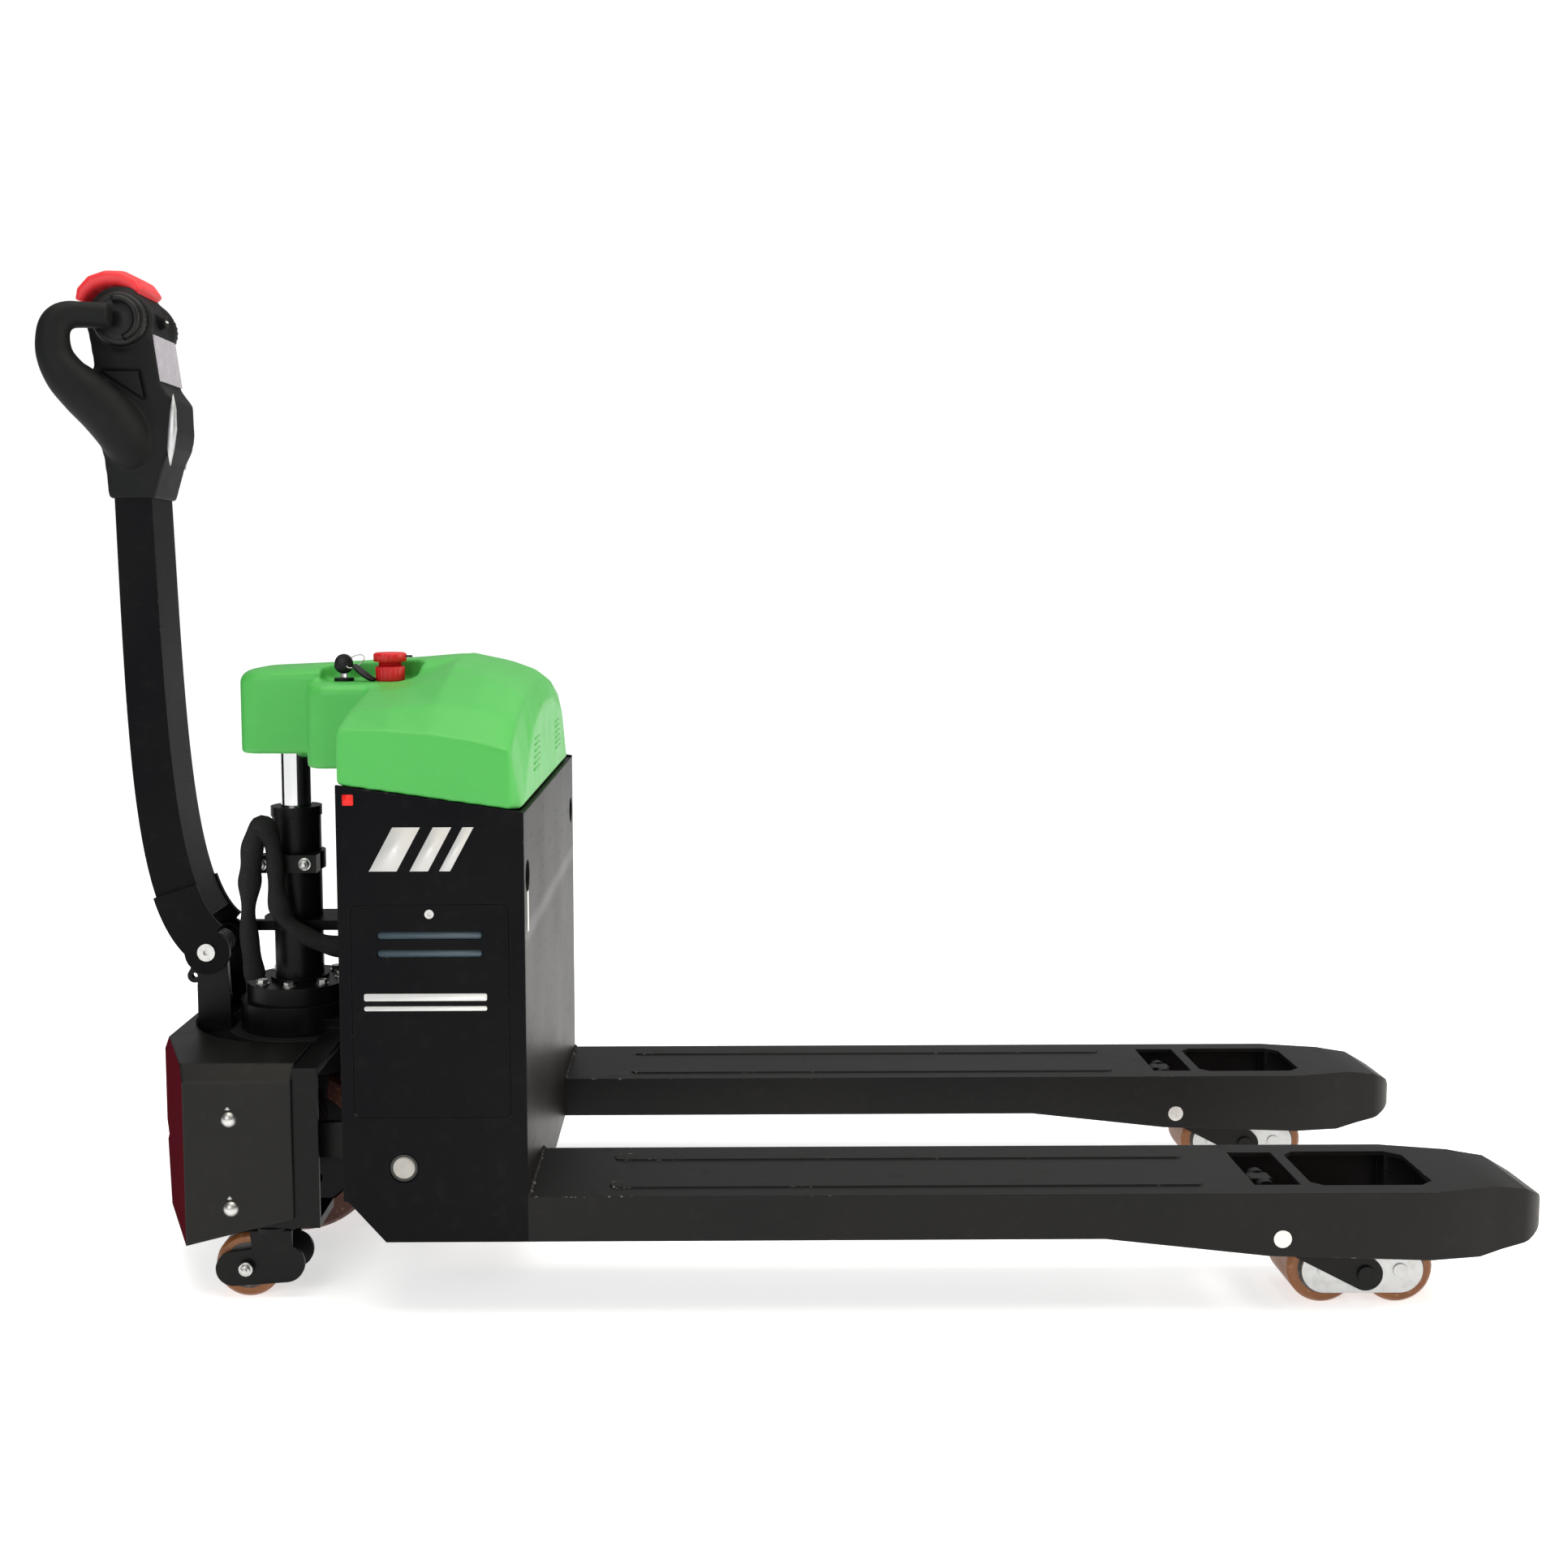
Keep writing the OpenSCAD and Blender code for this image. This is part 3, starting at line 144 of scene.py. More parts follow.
def area_light(name, source, target, size, power, tint=(1, 1, 1)):
    data = bpy.data.lights.new(name, "AREA")
    data.shape = "RECTANGLE"
    data.size, data.size_y = size
    data.energy = power
    data.color = tint
    lamp = bpy.data.objects.new(name, data)
    lamp.location = at(*source)
    aim = (at(*target) - lamp.location).to_track_quat("-Z", "Y")
    lamp.rotation_euler = aim.to_euler()
    scene.collection.objects.link(lamp)


area_light("light_top", (200, -500, 3200), (200, 0, 300), (3.2, 2.2), 58, (1.0, 0.97, 0.84))
area_light("light_front", (-1500, -3200, 1900), (0, 0, 450), (2.2, 1.6), 38)
area_light("light_side", (2900, -300, 1500), (-100, 0, 350), (1.2, 1.8), 44, (1.0, 0.90, 0.78))


# ---------------------------------------------------------------- materials
RIM_BLUR = 0.4
AMBER = (0.245, 0.085, 0.022)
DARK_AMBER = (0.075, 0.016, 0.010)


class Finish:
    """A material whose detail comes from noise in the piece's own space."""

    def __init__(self, name, base, rough, metal, spec):
        self.material = bpy.data.materials.new(name)
        self.material.use_nodes = True
        self.material.diffuse_color = (*base, 1)
        self.tree = self.material.node_tree
        self.shader = self.tree.nodes["Principled BSDF"]
        self.shader.inputs["Base Color"].default_value = (*base, 1)
        self.shader.inputs["Roughness"].default_value = rough
        self.shader.inputs["Metallic"].default_value = metal
        self.shader.inputs["Specular IOR Level"].default_value = spec
        self.base = base
        self.colour = None
        self.height = None
        self.coords = self.node("ShaderNodeTexCoord").outputs["Object"]

    def node(self, kind, **inputs):
        n = self.tree.nodes.new(kind)
        for key, value in inputs.items():
            self.feed(n.inputs[key.replace("_", " ")], value)
        return n

    def feed(self, target, value):
        if isinstance(value, bpy.types.NodeSocket):
            self.tree.links.new(value, target)
        else:
            target.default_value = value

    def math(self, how, a, b=0.0):
        n = self.node("ShaderNodeMath")
        n.operation = how
        for i, value in enumerate((a, b)):
            self.feed(n.inputs[i], value)
        return n.outputs[0]

    def noise(self, scale, detail, stretch=None):
        source = self.coords
        if stretch:
            source = self.node("ShaderNodeMapping", Vector=source, Scale=stretch).outputs[0]
        return self.node("ShaderNodeTexNoise", Vector=source, Scale=scale, Detail=detail).outputs["Fac"]

    def ramp(self, value, low, high, a=0.0, b=1.0):
        n = self.node("ShaderNodeMapRange", Value=value)
        for i, v in enumerate((low, high, a, b)):
            n.inputs[1 + i].default_value = v
        return n.outputs[0]

    def tint(self, mask, colour):
        """Lays colour over what is there, by the mask."""
        n = self.tree.nodes.new("ShaderNodeMix")
        n.data_type = "RGBA"
        self.feed(n.inputs[0], mask)
        self.feed(n.inputs[6], self.colour if self.colour else (*self.base, 1))
        self.feed(n.inputs[7], (*colour, 1))
        self.colour = n.outputs[2]
        self.tree.links.new(self.colour, self.shader.inputs["Base Color"])

    def rub(self, mask, low, high):
        self.tree.links.new(self.ramp(mask, 0.0, 1.0, low, high), self.shader.inputs["Roughness"])

    def bumps(self, height, depth, strength):
        """Adds a height to the surface; depth is in metres."""
        n = self.node("ShaderNodeBump", Height=height, Strength=strength, Distance=depth)
        if self.height:
            self.tree.links.new(self.height, n.inputs["Normal"])
        self.height = n.outputs[0]
        self.tree.links.new(self.height, self.shader.inputs["Normal"])

    def soft_edges(self, radius):
        """Rounds the shading of edges, and returns 1 on them and 0 elsewhere."""
        n = self.node("ShaderNodeBevel", Radius=radius)
        n.samples = 4
        self.height = n.outputs[0]
        self.tree.links.new(self.height, self.shader.inputs["Normal"])
        face = self.node("ShaderNodeNewGeometry").outputs["Normal"]
        dot = self.tree.nodes.new("ShaderNodeVectorMath")
        dot.operation = "DOT_PRODUCT"
        self.tree.links.new(n.outputs[0], dot.inputs[0])
        self.tree.links.new(face, dot.inputs[1])
        return self.ramp(dot.outputs["Value"], 0.999, 0.93)

    def band(self, axis, low, high, blur):
        """1 between two places, in millimetres from the heel face, and 0 outside."""
        n = self.node("ShaderNodeSeparateXYZ", Vector=self.coords)
        shift = HEEL_X if axis == 0 else 0.0
        rise = self.ramp(n.outputs[axis], shift + (low - blur) / 1000, shift + (low + blur) / 1000)
        fall = self.ramp(n.outputs[axis], shift + (high + blur) / 1000, shift + (high - blur) / 1000)
        return self.math("MULTIPLY", rise, fall)

    def inside(self, x, z, radius):
        """1 within a radius of an axis along Y."""
        n = self.node("ShaderNodeSeparateXYZ", Vector=self.coords)
        dx = self.math("SUBTRACT", n.outputs[0], HEEL_X + x / 1000)
        dz = self.math("SUBTRACT", n.outputs[2], z / 1000)
        square = self.math("ADD", self.math("MULTIPLY", dx, dx), self.math("MULTIPLY", dz, dz))
        reach = self.math("SQRT", square)
        return self.ramp(reach, (radius + RIM_BLUR) / 1000, (radius - RIM_BLUR) / 1000)


def painted(name, base, rough, spec, edge, chips, heels=False, bend=False):
    """Sprayed paint on steel plate: orange peel, dust, rubbed patches and chipped edges.

    heels adds flaked paint where the forks meet the heel plate, bend a painted highlight band along the
    plate's bend.
    """
    f = Finish(name, base, rough, 0.0, spec)
    rim = f.soft_edges(edge)
    broad = f.noise(5.0, 4.0)
    fine = f.noise(60.0, 4.0)
    f.tint(f.math("MULTIPLY", f.ramp(broad, 0.40, 0.72), 0.07), (0.05, 0.045, 0.04))
    f.tint(f.math("MULTIPLY", f.ramp(fine, 0.56, 0.75), 0.03), (0.09, 0.085, 0.08))
    worn = f.ramp(f.noise(9.0, 2.0), 0.56, 0.66, 0.0, chips)
    nicks = f.math("MULTIPLY", f.math("MULTIPLY", rim, worn), f.ramp(f.noise(110.0, 5.0), 0.58, 0.66))
    f.tint(f.math("MULTIPLY", rim, 0.05), (0.12, 0.115, 0.11))
    f.tint(nicks, (0.22, 0.21, 0.20))
    if heels:
        heel = f.math("MULTIPLY", f.band(0, 4, 110, 6), f.band(2, 134, 146, 2))
        flakes = f.ramp(f.noise(150.0, 6.0), 0.57, 0.63)
        rim2 = f.ramp(rim, 0.05, 0.4)
        f.tint(f.math("MULTIPLY", f.math("MULTIPLY", heel, flakes), rim2), (0.62, 0.58, 0.50))
    if bend:
        # painted highlight: a light band along the bend of the heel plate
        f.tint(f.math("MULTIPLY", f.band(2, 426, 437, 9), 0.55), (0.20, 0.20, 0.21))
    scratches = f.ramp(f.noise(26.0, 5.0, (1.0, 1.0, 7.0)), 0.60, 0.72)
    f.rub(f.math("ADD", f.math("MULTIPLY", broad, 0.7), f.math("MULTIPLY", scratches, 0.25)),
          rough - 0.08, rough + 0.16)
    f.bumps(f.noise(420.0, 2.0), 0.00012, 0.35)
    f.bumps(f.noise(18.0, 3.0), 0.0012, 0.08)
    return f.material


def moulded(name, base, rough, spec, grain=900.0, dust=0.10, shade=None, edge=0.0012):
    """Moulded plastic: fine texture, faint flow marks and rubbed edges."""
    f = Finish(name, base, rough, 0.0, spec)
    rim = f.soft_edges(edge)
    broad = f.noise(7.0, 3.0)
    lighter = tuple(min(1.0, c * 1.25 + 0.01) for c in base)
    darker = shade or tuple(c * 0.72 for c in base)
    f.tint(f.math("MULTIPLY", f.ramp(broad, 0.35, 0.65), 0.35), darker)
    f.tint(f.math("MULTIPLY", f.ramp(f.noise(45.0, 4.0), 0.55, 0.75), dust), lighter)
    f.tint(f.math("MULTIPLY", rim, 0.18), lighter)
    f.rub(f.noise(30.0, 4.0), rough - 0.10, rough + 0.12)
    f.bumps(f.noise(grain, 2.0), 0.0002, 0.30)
    f.bumps(f.noise(9.0, 2.0), 0.0016, 0.05)
    return f.material


def bare_metal(name, base, rough, edge=0.0006):
    """Plated or turned steel: tool marks, dull spots and a little grime."""
    f = Finish(name, base, rough, 1.0, 0.5)
    rim = f.soft_edges(edge)
    f.tint(f.math("MULTIPLY", f.ramp(f.noise(90.0, 4.0), 0.48, 0.72), 0.35), (0.30, 0.29, 0.27))
    f.tint(f.math("MULTIPLY", rim, 0.30), tuple(min(1.0, c * 1.15) for c in base))
    f.rub(f.noise(240.0, 3.0), rough - 0.08, rough + 0.16)
    f.bumps(f.noise(700.0, 2.0), 0.00012, 0.25)
    return f.material


def tyre(name, x, z, core, base):
    """Cast tread with scuffs, round a darker core disc with a bright hub."""
    f = Finish(name, base, 0.42, 0.0, 0.45)
    f.soft_edges(0.0012)
    f.tint(f.math("MULTIPLY", f.ramp(f.noise(30.0, 4.0), 0.40, 0.70), 0.55), (0.15, 0.045, 0.012))
    f.tint(f.math("MULTIPLY", f.ramp(f.noise(160.0, 4.0), 0.58, 0.70), 0.45), (0.36, 0.20, 0.10))
    disc = f.inside(x, z, core)
    f.tint(disc, (0.045, 0.042, 0.040))
    f.tint(f.math("MULTIPLY", disc, f.ramp(f.noise(60.0, 4.0), 0.52, 0.7)), (0.16, 0.13, 0.11))
    f.tint(f.inside(x, z, core * 0.42), (0.33, 0.32, 0.31))
    f.rub(f.noise(70.0, 4.0), 0.32, 0.58)
    f.bumps(f.noise(500.0, 3.0), 0.0002, 0.35)
    f.bumps(disc, 0.0008, 0.8)
    return f.material


BLACK = (0.0026, 0.0028, 0.0040)
frame_paint = painted("paint_frame", BLACK, 0.40, 0.06, 0.0016, 0.5)
fork_paint = painted("paint_forks", (0.0055, 0.0055, 0.0060), 0.44, 0.16, 0.0018, 1.0, heels=True)
# painted light: a lighter, warmer copy of the black paint for the lit heel face
lit_heel_paint = painted("paint_heel_lit", (0.0060, 0.0056, 0.0050), 0.40, 0.12, 0.0016, 0.5, bend=True)
cover_paint = painted("paint_cover", (0.0042, 0.0040, 0.0038), 0.34, 0.20, 0.0045, 0.4)
# painted reflection: a dark red colour for the cover's slanted corners
red_reflection_paint = painted("paint_red_reflection", (0.070, 0.0060, 0.0110), 0.42, 0.0, 0.0045, 0.3)
drive_paint = painted("paint_drive", (0.0042, 0.0042, 0.0046), 0.36, 0.14, 0.0010, 0.3)
cast_iron = painted("cast_iron", (0.010, 0.0105, 0.012), 0.52, 0.20, 0.0015, 0.5)
zinc = bare_metal("zinc", (0.60, 0.60, 0.59), 0.34)
bright_steel = bare_metal("bright_steel", (0.62, 0.61, 0.59), 0.25)
bogie_zinc = bare_metal("zinc_plate", (0.50, 0.51, 0.52), 0.40, edge=0.0008)
spring_steel = bare_metal("spring_steel", (0.10, 0.10, 0.11), 0.42)
hood_plastic = moulded("hood_plastic", (0.072, 0.440, 0.080), 0.38, 0.34, 700.0, 0.10,
                       (0.060, 0.385, 0.066), 0.0020)
head_plastic = moulded("head_plastic", (0.0062, 0.0067, 0.0072), 0.58, 0.15, 800.0, 0.14, edge=0.0020)
grip_plastic = moulded("grip_plastic", (0.0060, 0.0064, 0.0068), 0.62, 0.15, 1000.0, 0.10)
key_plastic = moulded("key_plastic", (0.0050, 0.0050, 0.0054), 0.40, 0.25)
red_plastic = moulded("red_plastic", (0.74, 0.028, 0.036), 0.42, 0.36, 900.0, 0.10, (0.70, 0.02, 0.03))
stop_plastic = moulded("stop_plastic", (0.62, 0.010, 0.014), 0.36, 0.40, 900.0, 0.08, (0.5, 0.01, 0.012))
battery_case = moulded("battery_case", (0.030, 0.036, 0.046), 0.50, 0.40)
alloy = bare_metal("alloy", (0.42, 0.43, 0.45), 0.42)
label_white = moulded("label_white", (0.80, 0.80, 0.80), 0.50, 0.35, 1500.0, 0.05, (0.74, 0.74, 0.73))
label_red = moulded("label_red", (0.80, 0.012, 0.006), 0.45, 0.35, 1500.0, 0.05)
window_grey = moulded("window_grey", (0.055, 0.085, 0.105), 0.35, 0.45, 600.0, 0.2)
silver = bare_metal("silver_trim", (0.55, 0.56, 0.57), 0.38)


def chrome_material():
    f = Finish("chrome", (0.78, 0.79, 0.80), 0.10, 1.0, 0.5)
    lines = f.noise(500.0, 2.0, (1.0, 1.0, 0.03))
    f.tint(f.math("MULTIPLY", f.ramp(f.noise(24.0, 4.0, (1, 1, 0.2)), 0.5, 0.75), 0.25), (0.45, 0.44, 0.42))
    f.rub(f.ramp(lines, 0.4, 0.7), 0.07, 0.20)
    f.bumps(lines, 0.00005, 0.15)
    return f.material


def display_material():
    f = Finish("display", (0.37, 0.35, 0.40), 0.28, 0.0, 0.5)
    f.soft_edges(0.0008)
    bars = f.node("ShaderNodeTexNoise", Vector=f.coords, Scale=90.0, Detail=1.0).outputs["Fac"]
    f.tint(f.math("MULTIPLY", f.ramp(bars, 0.52, 0.62), 0.22), (0.52, 0.52, 0.56))
    f.rub(f.noise(25.0, 3.0), 0.20, 0.36)
    f.bumps(f.noise(900.0, 2.0), 0.00008, 0.3)
    return f.material


def sleeve_material():
    f = Finish("sleeve", (0.0065, 0.0065, 0.0070), 0.78, 0.0, 0.25)
    weave = f.node("ShaderNodeTexWave", Vector=f.coords, Scale=190.0, Distortion=1.5)
    weave.bands_direction = "DIAGONAL"
    f.tint(f.math("MULTIPLY", weave.outputs["Fac"], 0.45), (0.022, 0.022, 0.023))
    f.rub(f.noise(50.0, 3.0), 0.68, 0.90)
    f.bumps(weave.outputs["Fac"], 0.0006, 0.8)
    f.bumps(f.noise(60.0, 3.0), 0.0025, 0.5)
    return f.material


chrome = chrome_material()
display = display_material()
sleeve = sleeve_material()


FLOOR_GLOW = 0.62


def floor_material():
    f = Finish("floor", (0.93, 0.93, 0.93), 0.85, 0.0, 0.1)
    f.tint(f.math("MULTIPLY", f.noise(3.0, 3.0), 0.10), (0.90, 0.90, 0.90))
    f.shader.inputs["Emission Color"].default_value = (1, 1, 1, 1)
    f.shader.inputs["Emission Strength"].default_value = FLOOR_GLOW
    return f.material


# ---------------------------------------------------------------- mesh making
def mesh_piece(name, verts, faces, material, smooth=True):
    data = bpy.data.meshes.new(name)
    data.from_pydata([tuple(v) for v in verts], [], faces)
    data.update()
    piece = bpy.data.objects.new(name, data)
    scene.collection.objects.link(piece)
    data.materials.append(material)
    for polygon in data.polygons:
        polygon.use_smooth = smooth
    return piece


def joined(name, shells, material):
    """One piece from several (verts, faces) shells."""
    verts, faces = [], []
    for v, f in shells:
        k = len(verts)
        verts += list(v)
        faces += [tuple(i + k for i in face) for face in f]
    piece = mesh_piece(name, verts, faces, material)
    shell_mesh = bmesh.new()
    shell_mesh.from_mesh(piece.data)
    bmesh.ops.recalc_face_normals(shell_mesh, faces=shell_mesh.faces)
    shell_mesh.to_mesh(piece.data)
    shell_mesh.free()
    return piece


def rings_shell(rings):
    """Closed shell through rings that all have the same number of points."""
    n, m = len(rings[0]), len(rings)
    faces = [(i * n + k, i * n + (k + 1) % n, (i + 1) * n + (k + 1) % n, (i + 1) * n + k)
             for i in range(m - 1) for k in range(n)]
    faces += [tuple(range(n))[::-1], tuple(range((m - 1) * n, m * n))]
    return [p for ring in rings for p in ring], faces


def axes_of(direction):
    """The direction at length 1, and two more at right angles to it."""
    d = Vector(direction).normalized()
    side = Vector((0, 0, 1)) if abs(d.z) < 0.9 else Vector((1, 0, 0))
    u = d.cross(side).normalized()
    return d, u, d.cross(u)


def lathe(centre, direction, profile, n=40, wobble=None):
    """Turned shell: profile holds (distance along the axis, radius), in millimetres."""
    d, u, v = axes_of(direction)
    c = at(*centre)
    rings = []
    for h, r in profile:
        ring = []
        for k in range(n):
            a = 2 * math.pi * k / n
            s = (r + (wobble(a, h) if wobble else 0)) / 1000
            ring.append(c + d * (h / 1000) + s * (math.cos(a) * u + math.sin(a) * v))
        rings.append(ring)
    return rings_shell(rings)


def prism(outline, axis, low, high, rim=0.0):
    """Outline thick along an axis (1: X and Z given, 2: X and Y given), with chamfered rims."""
    cx = sum(p[0] for p in outline) / len(outline)
    cy = sum(p[1] for p in outline) / len(outline)

    def ring(level_at, inset):
        ring_points = []
        for a, b in outline:
            reach = math.hypot(a - cx, b - cy) or 1
            q = 1 - inset / reach
            a2, b2 = cx + (a - cx) * q, cy + (b - cy) * q
            ring_points.append(at(a2, level_at, b2) if axis == 1 else at(a2, b2, level_at))
        return ring_points
    if rim:
        rings = [ring(low, rim), ring(low + rim, 0), ring(high - rim, 0), ring(high, rim)]
    else:
        rings = [ring(low, 0), ring(high, 0)]
    return rings_shell(rings)


def spline(points, steps):
    """Smooth curve through points, in millimetres."""
    p = [Vector(q) for q in points]
    found = []
    for i in range(len(p) - 1):
        a, b, c, d = p[max(i - 1, 0)], p[i], p[i + 1], p[min(i + 2, len(p) - 1)]
        for k in range(steps):
            t = k / steps
            found.append(0.5 * (2 * b + (c - a) * t + (2 * a - 5 * b + 4 * c - d) * t * t
                                + (3 * b - a - 3 * c + d) * t ** 3))
    return found + [p[-1]]


def tube(points, radius, n=14, flat=1.0):
    """Closed tube along points; radius is a number or a function of the share of the length."""
    rings = []
    last = len(points) - 1
    u = None
    for i, p in enumerate(points):
        t = (points[min(i + 1, last)] - points[max(i - 1, 0)]).normalized()
        if u is None:
            u = axes_of(t)[1]
        u = (u - t * u.dot(t)).normalized()
        v = t.cross(u)
        r = radius(i / last) if callable(radius) else radius
        rings.append([at(*(p + r * (math.cos(a) * u + flat * math.sin(a) * v)))
                      for a in (2 * math.pi * k / n for k in range(n))])
    return rings_shell(rings)


def settle(piece, *modifiers):
    """Applies modifiers, given as (type, settings), to the mesh of a piece."""
    for kind, settings in modifiers:
        m = piece.modifiers.new(kind.lower(), kind)
        for key, value in settings.items():
            setattr(m, key, value)
    graph = bpy.context.evaluated_depsgraph_get()
    graph.update()
    data = bpy.data.meshes.new_from_object(piece.evaluated_get(graph))
    piece.modifiers.clear()
    old = piece.data
    piece.data = data
    data.name = piece.name
    bpy.data.meshes.remove(old)
    for polygon in data.polygons:
        polygon.use_smooth = True
    return piece


def voxels(size, rounds):
    """Merges the shells of a piece into one skin and smooths it; size is in millimetres."""
    return (("REMESH", {"mode": "VOXEL", "voxel_size": size / 1000, "use_smooth_shade": True}),
            ("SMOOTH", {"factor": 0.5, "iterations": rounds}))


def carve(piece, shells):
    """Cuts shells out of a piece."""
    cutter = joined("cutter", shells, piece.data.materials[0])
    settle(piece, ("BOOLEAN", {"operation": "DIFFERENCE", "object": cutter, "solver": "EXACT"}))
    bpy.data.objects.remove(cutter)


def rounded_rect(x0, y0, x1, y1, r, n=6):
    corners = ((x1 - r, y1 - r, 0), (x0 + r, y1 - r, 90), (x0 + r, y0 + r, 180), (x1 - r, y0 + r, 270))
    return [(cx + r * math.cos(math.radians(a + 90 * k / n)), cy + r * math.sin(math.radians(a + 90 * k / n)))
            for cx, cy, a in corners for k in range(n + 1)]


def span(s, near, far):
    """Low and high Y of a stretch that lies near to far on side s, -1 right and 1 left."""
    return sorted((s * near, s * far))


def place(piece, body, slot, *nodes):
    """Rides a piece on a body and lets it stand for CAD nodes, which it hides; slot is not used."""
    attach(piece, body)
    if nodes:
        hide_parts(*nodes)
    return piece


# ---------------------------------------------------------------- floor
floor = mesh_piece("floor", [(-40, -40, 0), (40, -40, 0), (40, 40, 0), (-40, 40, 0)], [(0, 1, 2, 3)],
                   floor_material())
floor.location.z = -0.0005

# ---------------------------------------------------------------- CAD nodes that stay
FINISHES = {
    "frame_paint": frame_paint, "drive_paint": drive_paint, "zinc": zinc, "chrome": chrome, "cast": cast_iron,
    "hood_plastic": hood_plastic, "head_plastic": head_plastic, "grip_rubber": grip_plastic,
    "red_plastic": red_plastic, "display": display, "black_plastic": key_plastic,
    "battery_case": battery_case, "controller": alloy, "sleeve": sleeve, "spring_steel": spring_steel,
}


def pin_material():
    """Steel pins, with a black gap drawn round each end."""
    f = Finish("pin_steel", (0.34, 0.33, 0.31), 0.30, 1.0, 0.5)
    lo, hi = node_box("linkage_pins")
    x, z = (lo[0] + hi[0]) / 2, (lo[2] + hi[2]) / 2
    ring = f.math("SUBTRACT", 1.0, f.inside(x, z, 12.0))
    f.tint(f.math("MULTIPLY", f.ramp(f.noise(90.0, 4.0), 0.45, 0.7), 0.4), (0.25, 0.24, 0.22))
    f.tint(ring, (0.004, 0.004, 0.004))
    f.tree.links.new(f.ramp(ring, 0.0, 1.0, 1.0, 0.0), f.shader.inputs["Metallic"])
    f.rub(f.noise(200.0, 3.0, (1.0, 1.0, 0.1)), 0.24, 0.45)
    f.bumps(f.noise(400.0, 2.0, (1.0, 1.0, 0.05)), 0.0001, 0.3)
    return f.material


SPECIAL = {
    "fork_left": fork_paint, "fork_right": fork_paint, "bogie_left": bogie_zinc, "bogie_right": bogie_zinc,
    "face_plate": lit_heel_paint, "linkage_pins": pin_material(), "fork_pins": bright_steel,
    "front_cover": cover_paint,
}


def paint_node(name, material):
    data = bpy.data.objects[name].data
    data.materials.clear()
    data.materials.append(material)
    for polygon in data.polygons:
        polygon.material_index = 0


def shade(name, angle=35):
    """Smooth shading that keeps edges sharper than the angle."""
    piece = bpy.data.objects[name]
    weld = piece.modifiers.new("weld", "WELD")
    weld.merge_threshold = 0.00001
    for polygon in piece.data.polygons:
        polygon.use_smooth = True
    split_edges = piece.modifiers.new("split", "EDGE_SPLIT")
    split_edges.split_angle = math.radians(angle)


for part in frame["record"]["subparts"]:
    node, slot = part["node"], part["material_slot"]
    if slot == "tyre_pu":
        lo, hi = node_box(node)
        x, z, r = (lo[0] + hi[0]) / 2, (lo[2] + hi[2]) / 2, (hi[2] - lo[2]) / 2
        tread = DARK_AMBER if node == "drive_tyre" else AMBER
        paint_node(node, tyre("tread_" + node, x, z, r * (0.66 if r > 90 else 0.72), tread))
    else:
        paint_node(node, SPECIAL.get(node, FINISHES[slot]))
    shade(node, 18 if node == "front_cover" else 35)

# painted reflection: the slanted front corners of the cover are coloured dark red
cover = bpy.data.objects["front_cover"].data
cover.materials.append(red_reflection_paint)
for polygon in cover.polygons:
    if polygon.normal.x < -0.25 and abs(polygon.normal.y) > 0.25 and abs(polygon.normal.z) < 0.3:
        polygon.material_index = 1

# ---------------------------------------------------------------- hood
HEEL = node_box("hood")[1][0]
box_back_x = node_box("box_back")[0][0]
box_top = node_box("side_plate_left")[1][2]
TOP_FALL = 30.0
HALF = node_box("side_plate_left")[1][1] - 1
stop_lo, stop_hi = node_box("estop_base")
stop_x, stop_y = (stop_lo[0] + stop_hi[0]) / 2, (stop_lo[1] + stop_hi[1]) / 2
key_lo, key_hi = node_box("key_switch")
key_x, key_y = (key_lo[0] + key_hi[0]) / 2, (key_lo[1] + key_hi[1]) / 2
DECK = box_top + 99


def foot(x):
    """Height of the hood's lower edge, which falls towards the heel with the box's top."""
    return box_top - TOP_FALL * (x - box_back_x) / -box_back_x


def section(x, half):
    """Closed ring across X from half an outline, listed from the foot up to the middle."""
    points = [(y, z) for y, z in half] + [(-y, z) for y, z in reversed(half)]
    return [at(x, y, z) for y, z in points]


# heights of the roof at its lines, from the side crease up to the middle, by X
ROOF_HALVES = (229, 150, 100, 40)
roof = {
    -202: (661, 674, 689, 696, 701), -150: (659, 680, 697, 703, 714), -102: (655, 684, 709, 721, 729),
    -60: (648, 680, 706, 715, 720), -30: (641, 672, 696, 704, 709), -14: (636, 663, 684, 692, 697),
}
body_rings = []
for x, (crease, *heights) in roof.items():
    body_rings.append(section(x, [(HALF, foot(x)), (HALF, crease), *zip(ROOF_HALVES, heights)]))
heel_line = [(262, foot(HEEL)), (228, 581), (196, 618), (151, 645), (100, 660), (40, 671)]
body_rings.append(section(HEEL, heel_line))

# half widths and top heights of the nose over the piston rod, by X
nose_plan = {-373: 46, -370: 58, -362: 66, -350: 70, -281: 70}
spine_top = {-373: 706, -370: 711, -362: 713, -350: 715, -281: 718, -240: 720, -160: 725, -110: 729}
NOSE_HALF = 70
nose_rings = []
for x, top in spine_top.items():
    half = nose_plan.get(x, NOSE_HALF)
    low = 611 if x < -280 else 600
    nose_rings.append(section(x, [(half, low), (half, top - 9), (half - 12, top - 3), (half - 26, top - 1),
                                  (16, top), (4, top)]))
step_plan = {-281: 92, -278: 104, -270: 113, -258: 118, -150: 118}
STEP_TOP = 699
step_rings = []
for x, half in step_plan.items():
    step_rings.append(section(x, [(half, 598), (half, STEP_TOP - 8), (half - 8, STEP_TOP - 1),
                                  (half - 30, STEP_TOP), (40, STEP_TOP), (8, STEP_TOP)]))
hood = joined("hood_shell", [rings_shell(body_rings), rings_shell(nose_rings), rings_shell(step_rings)],
              hood_plastic)
settle(hood, *voxels(3.2, 2))
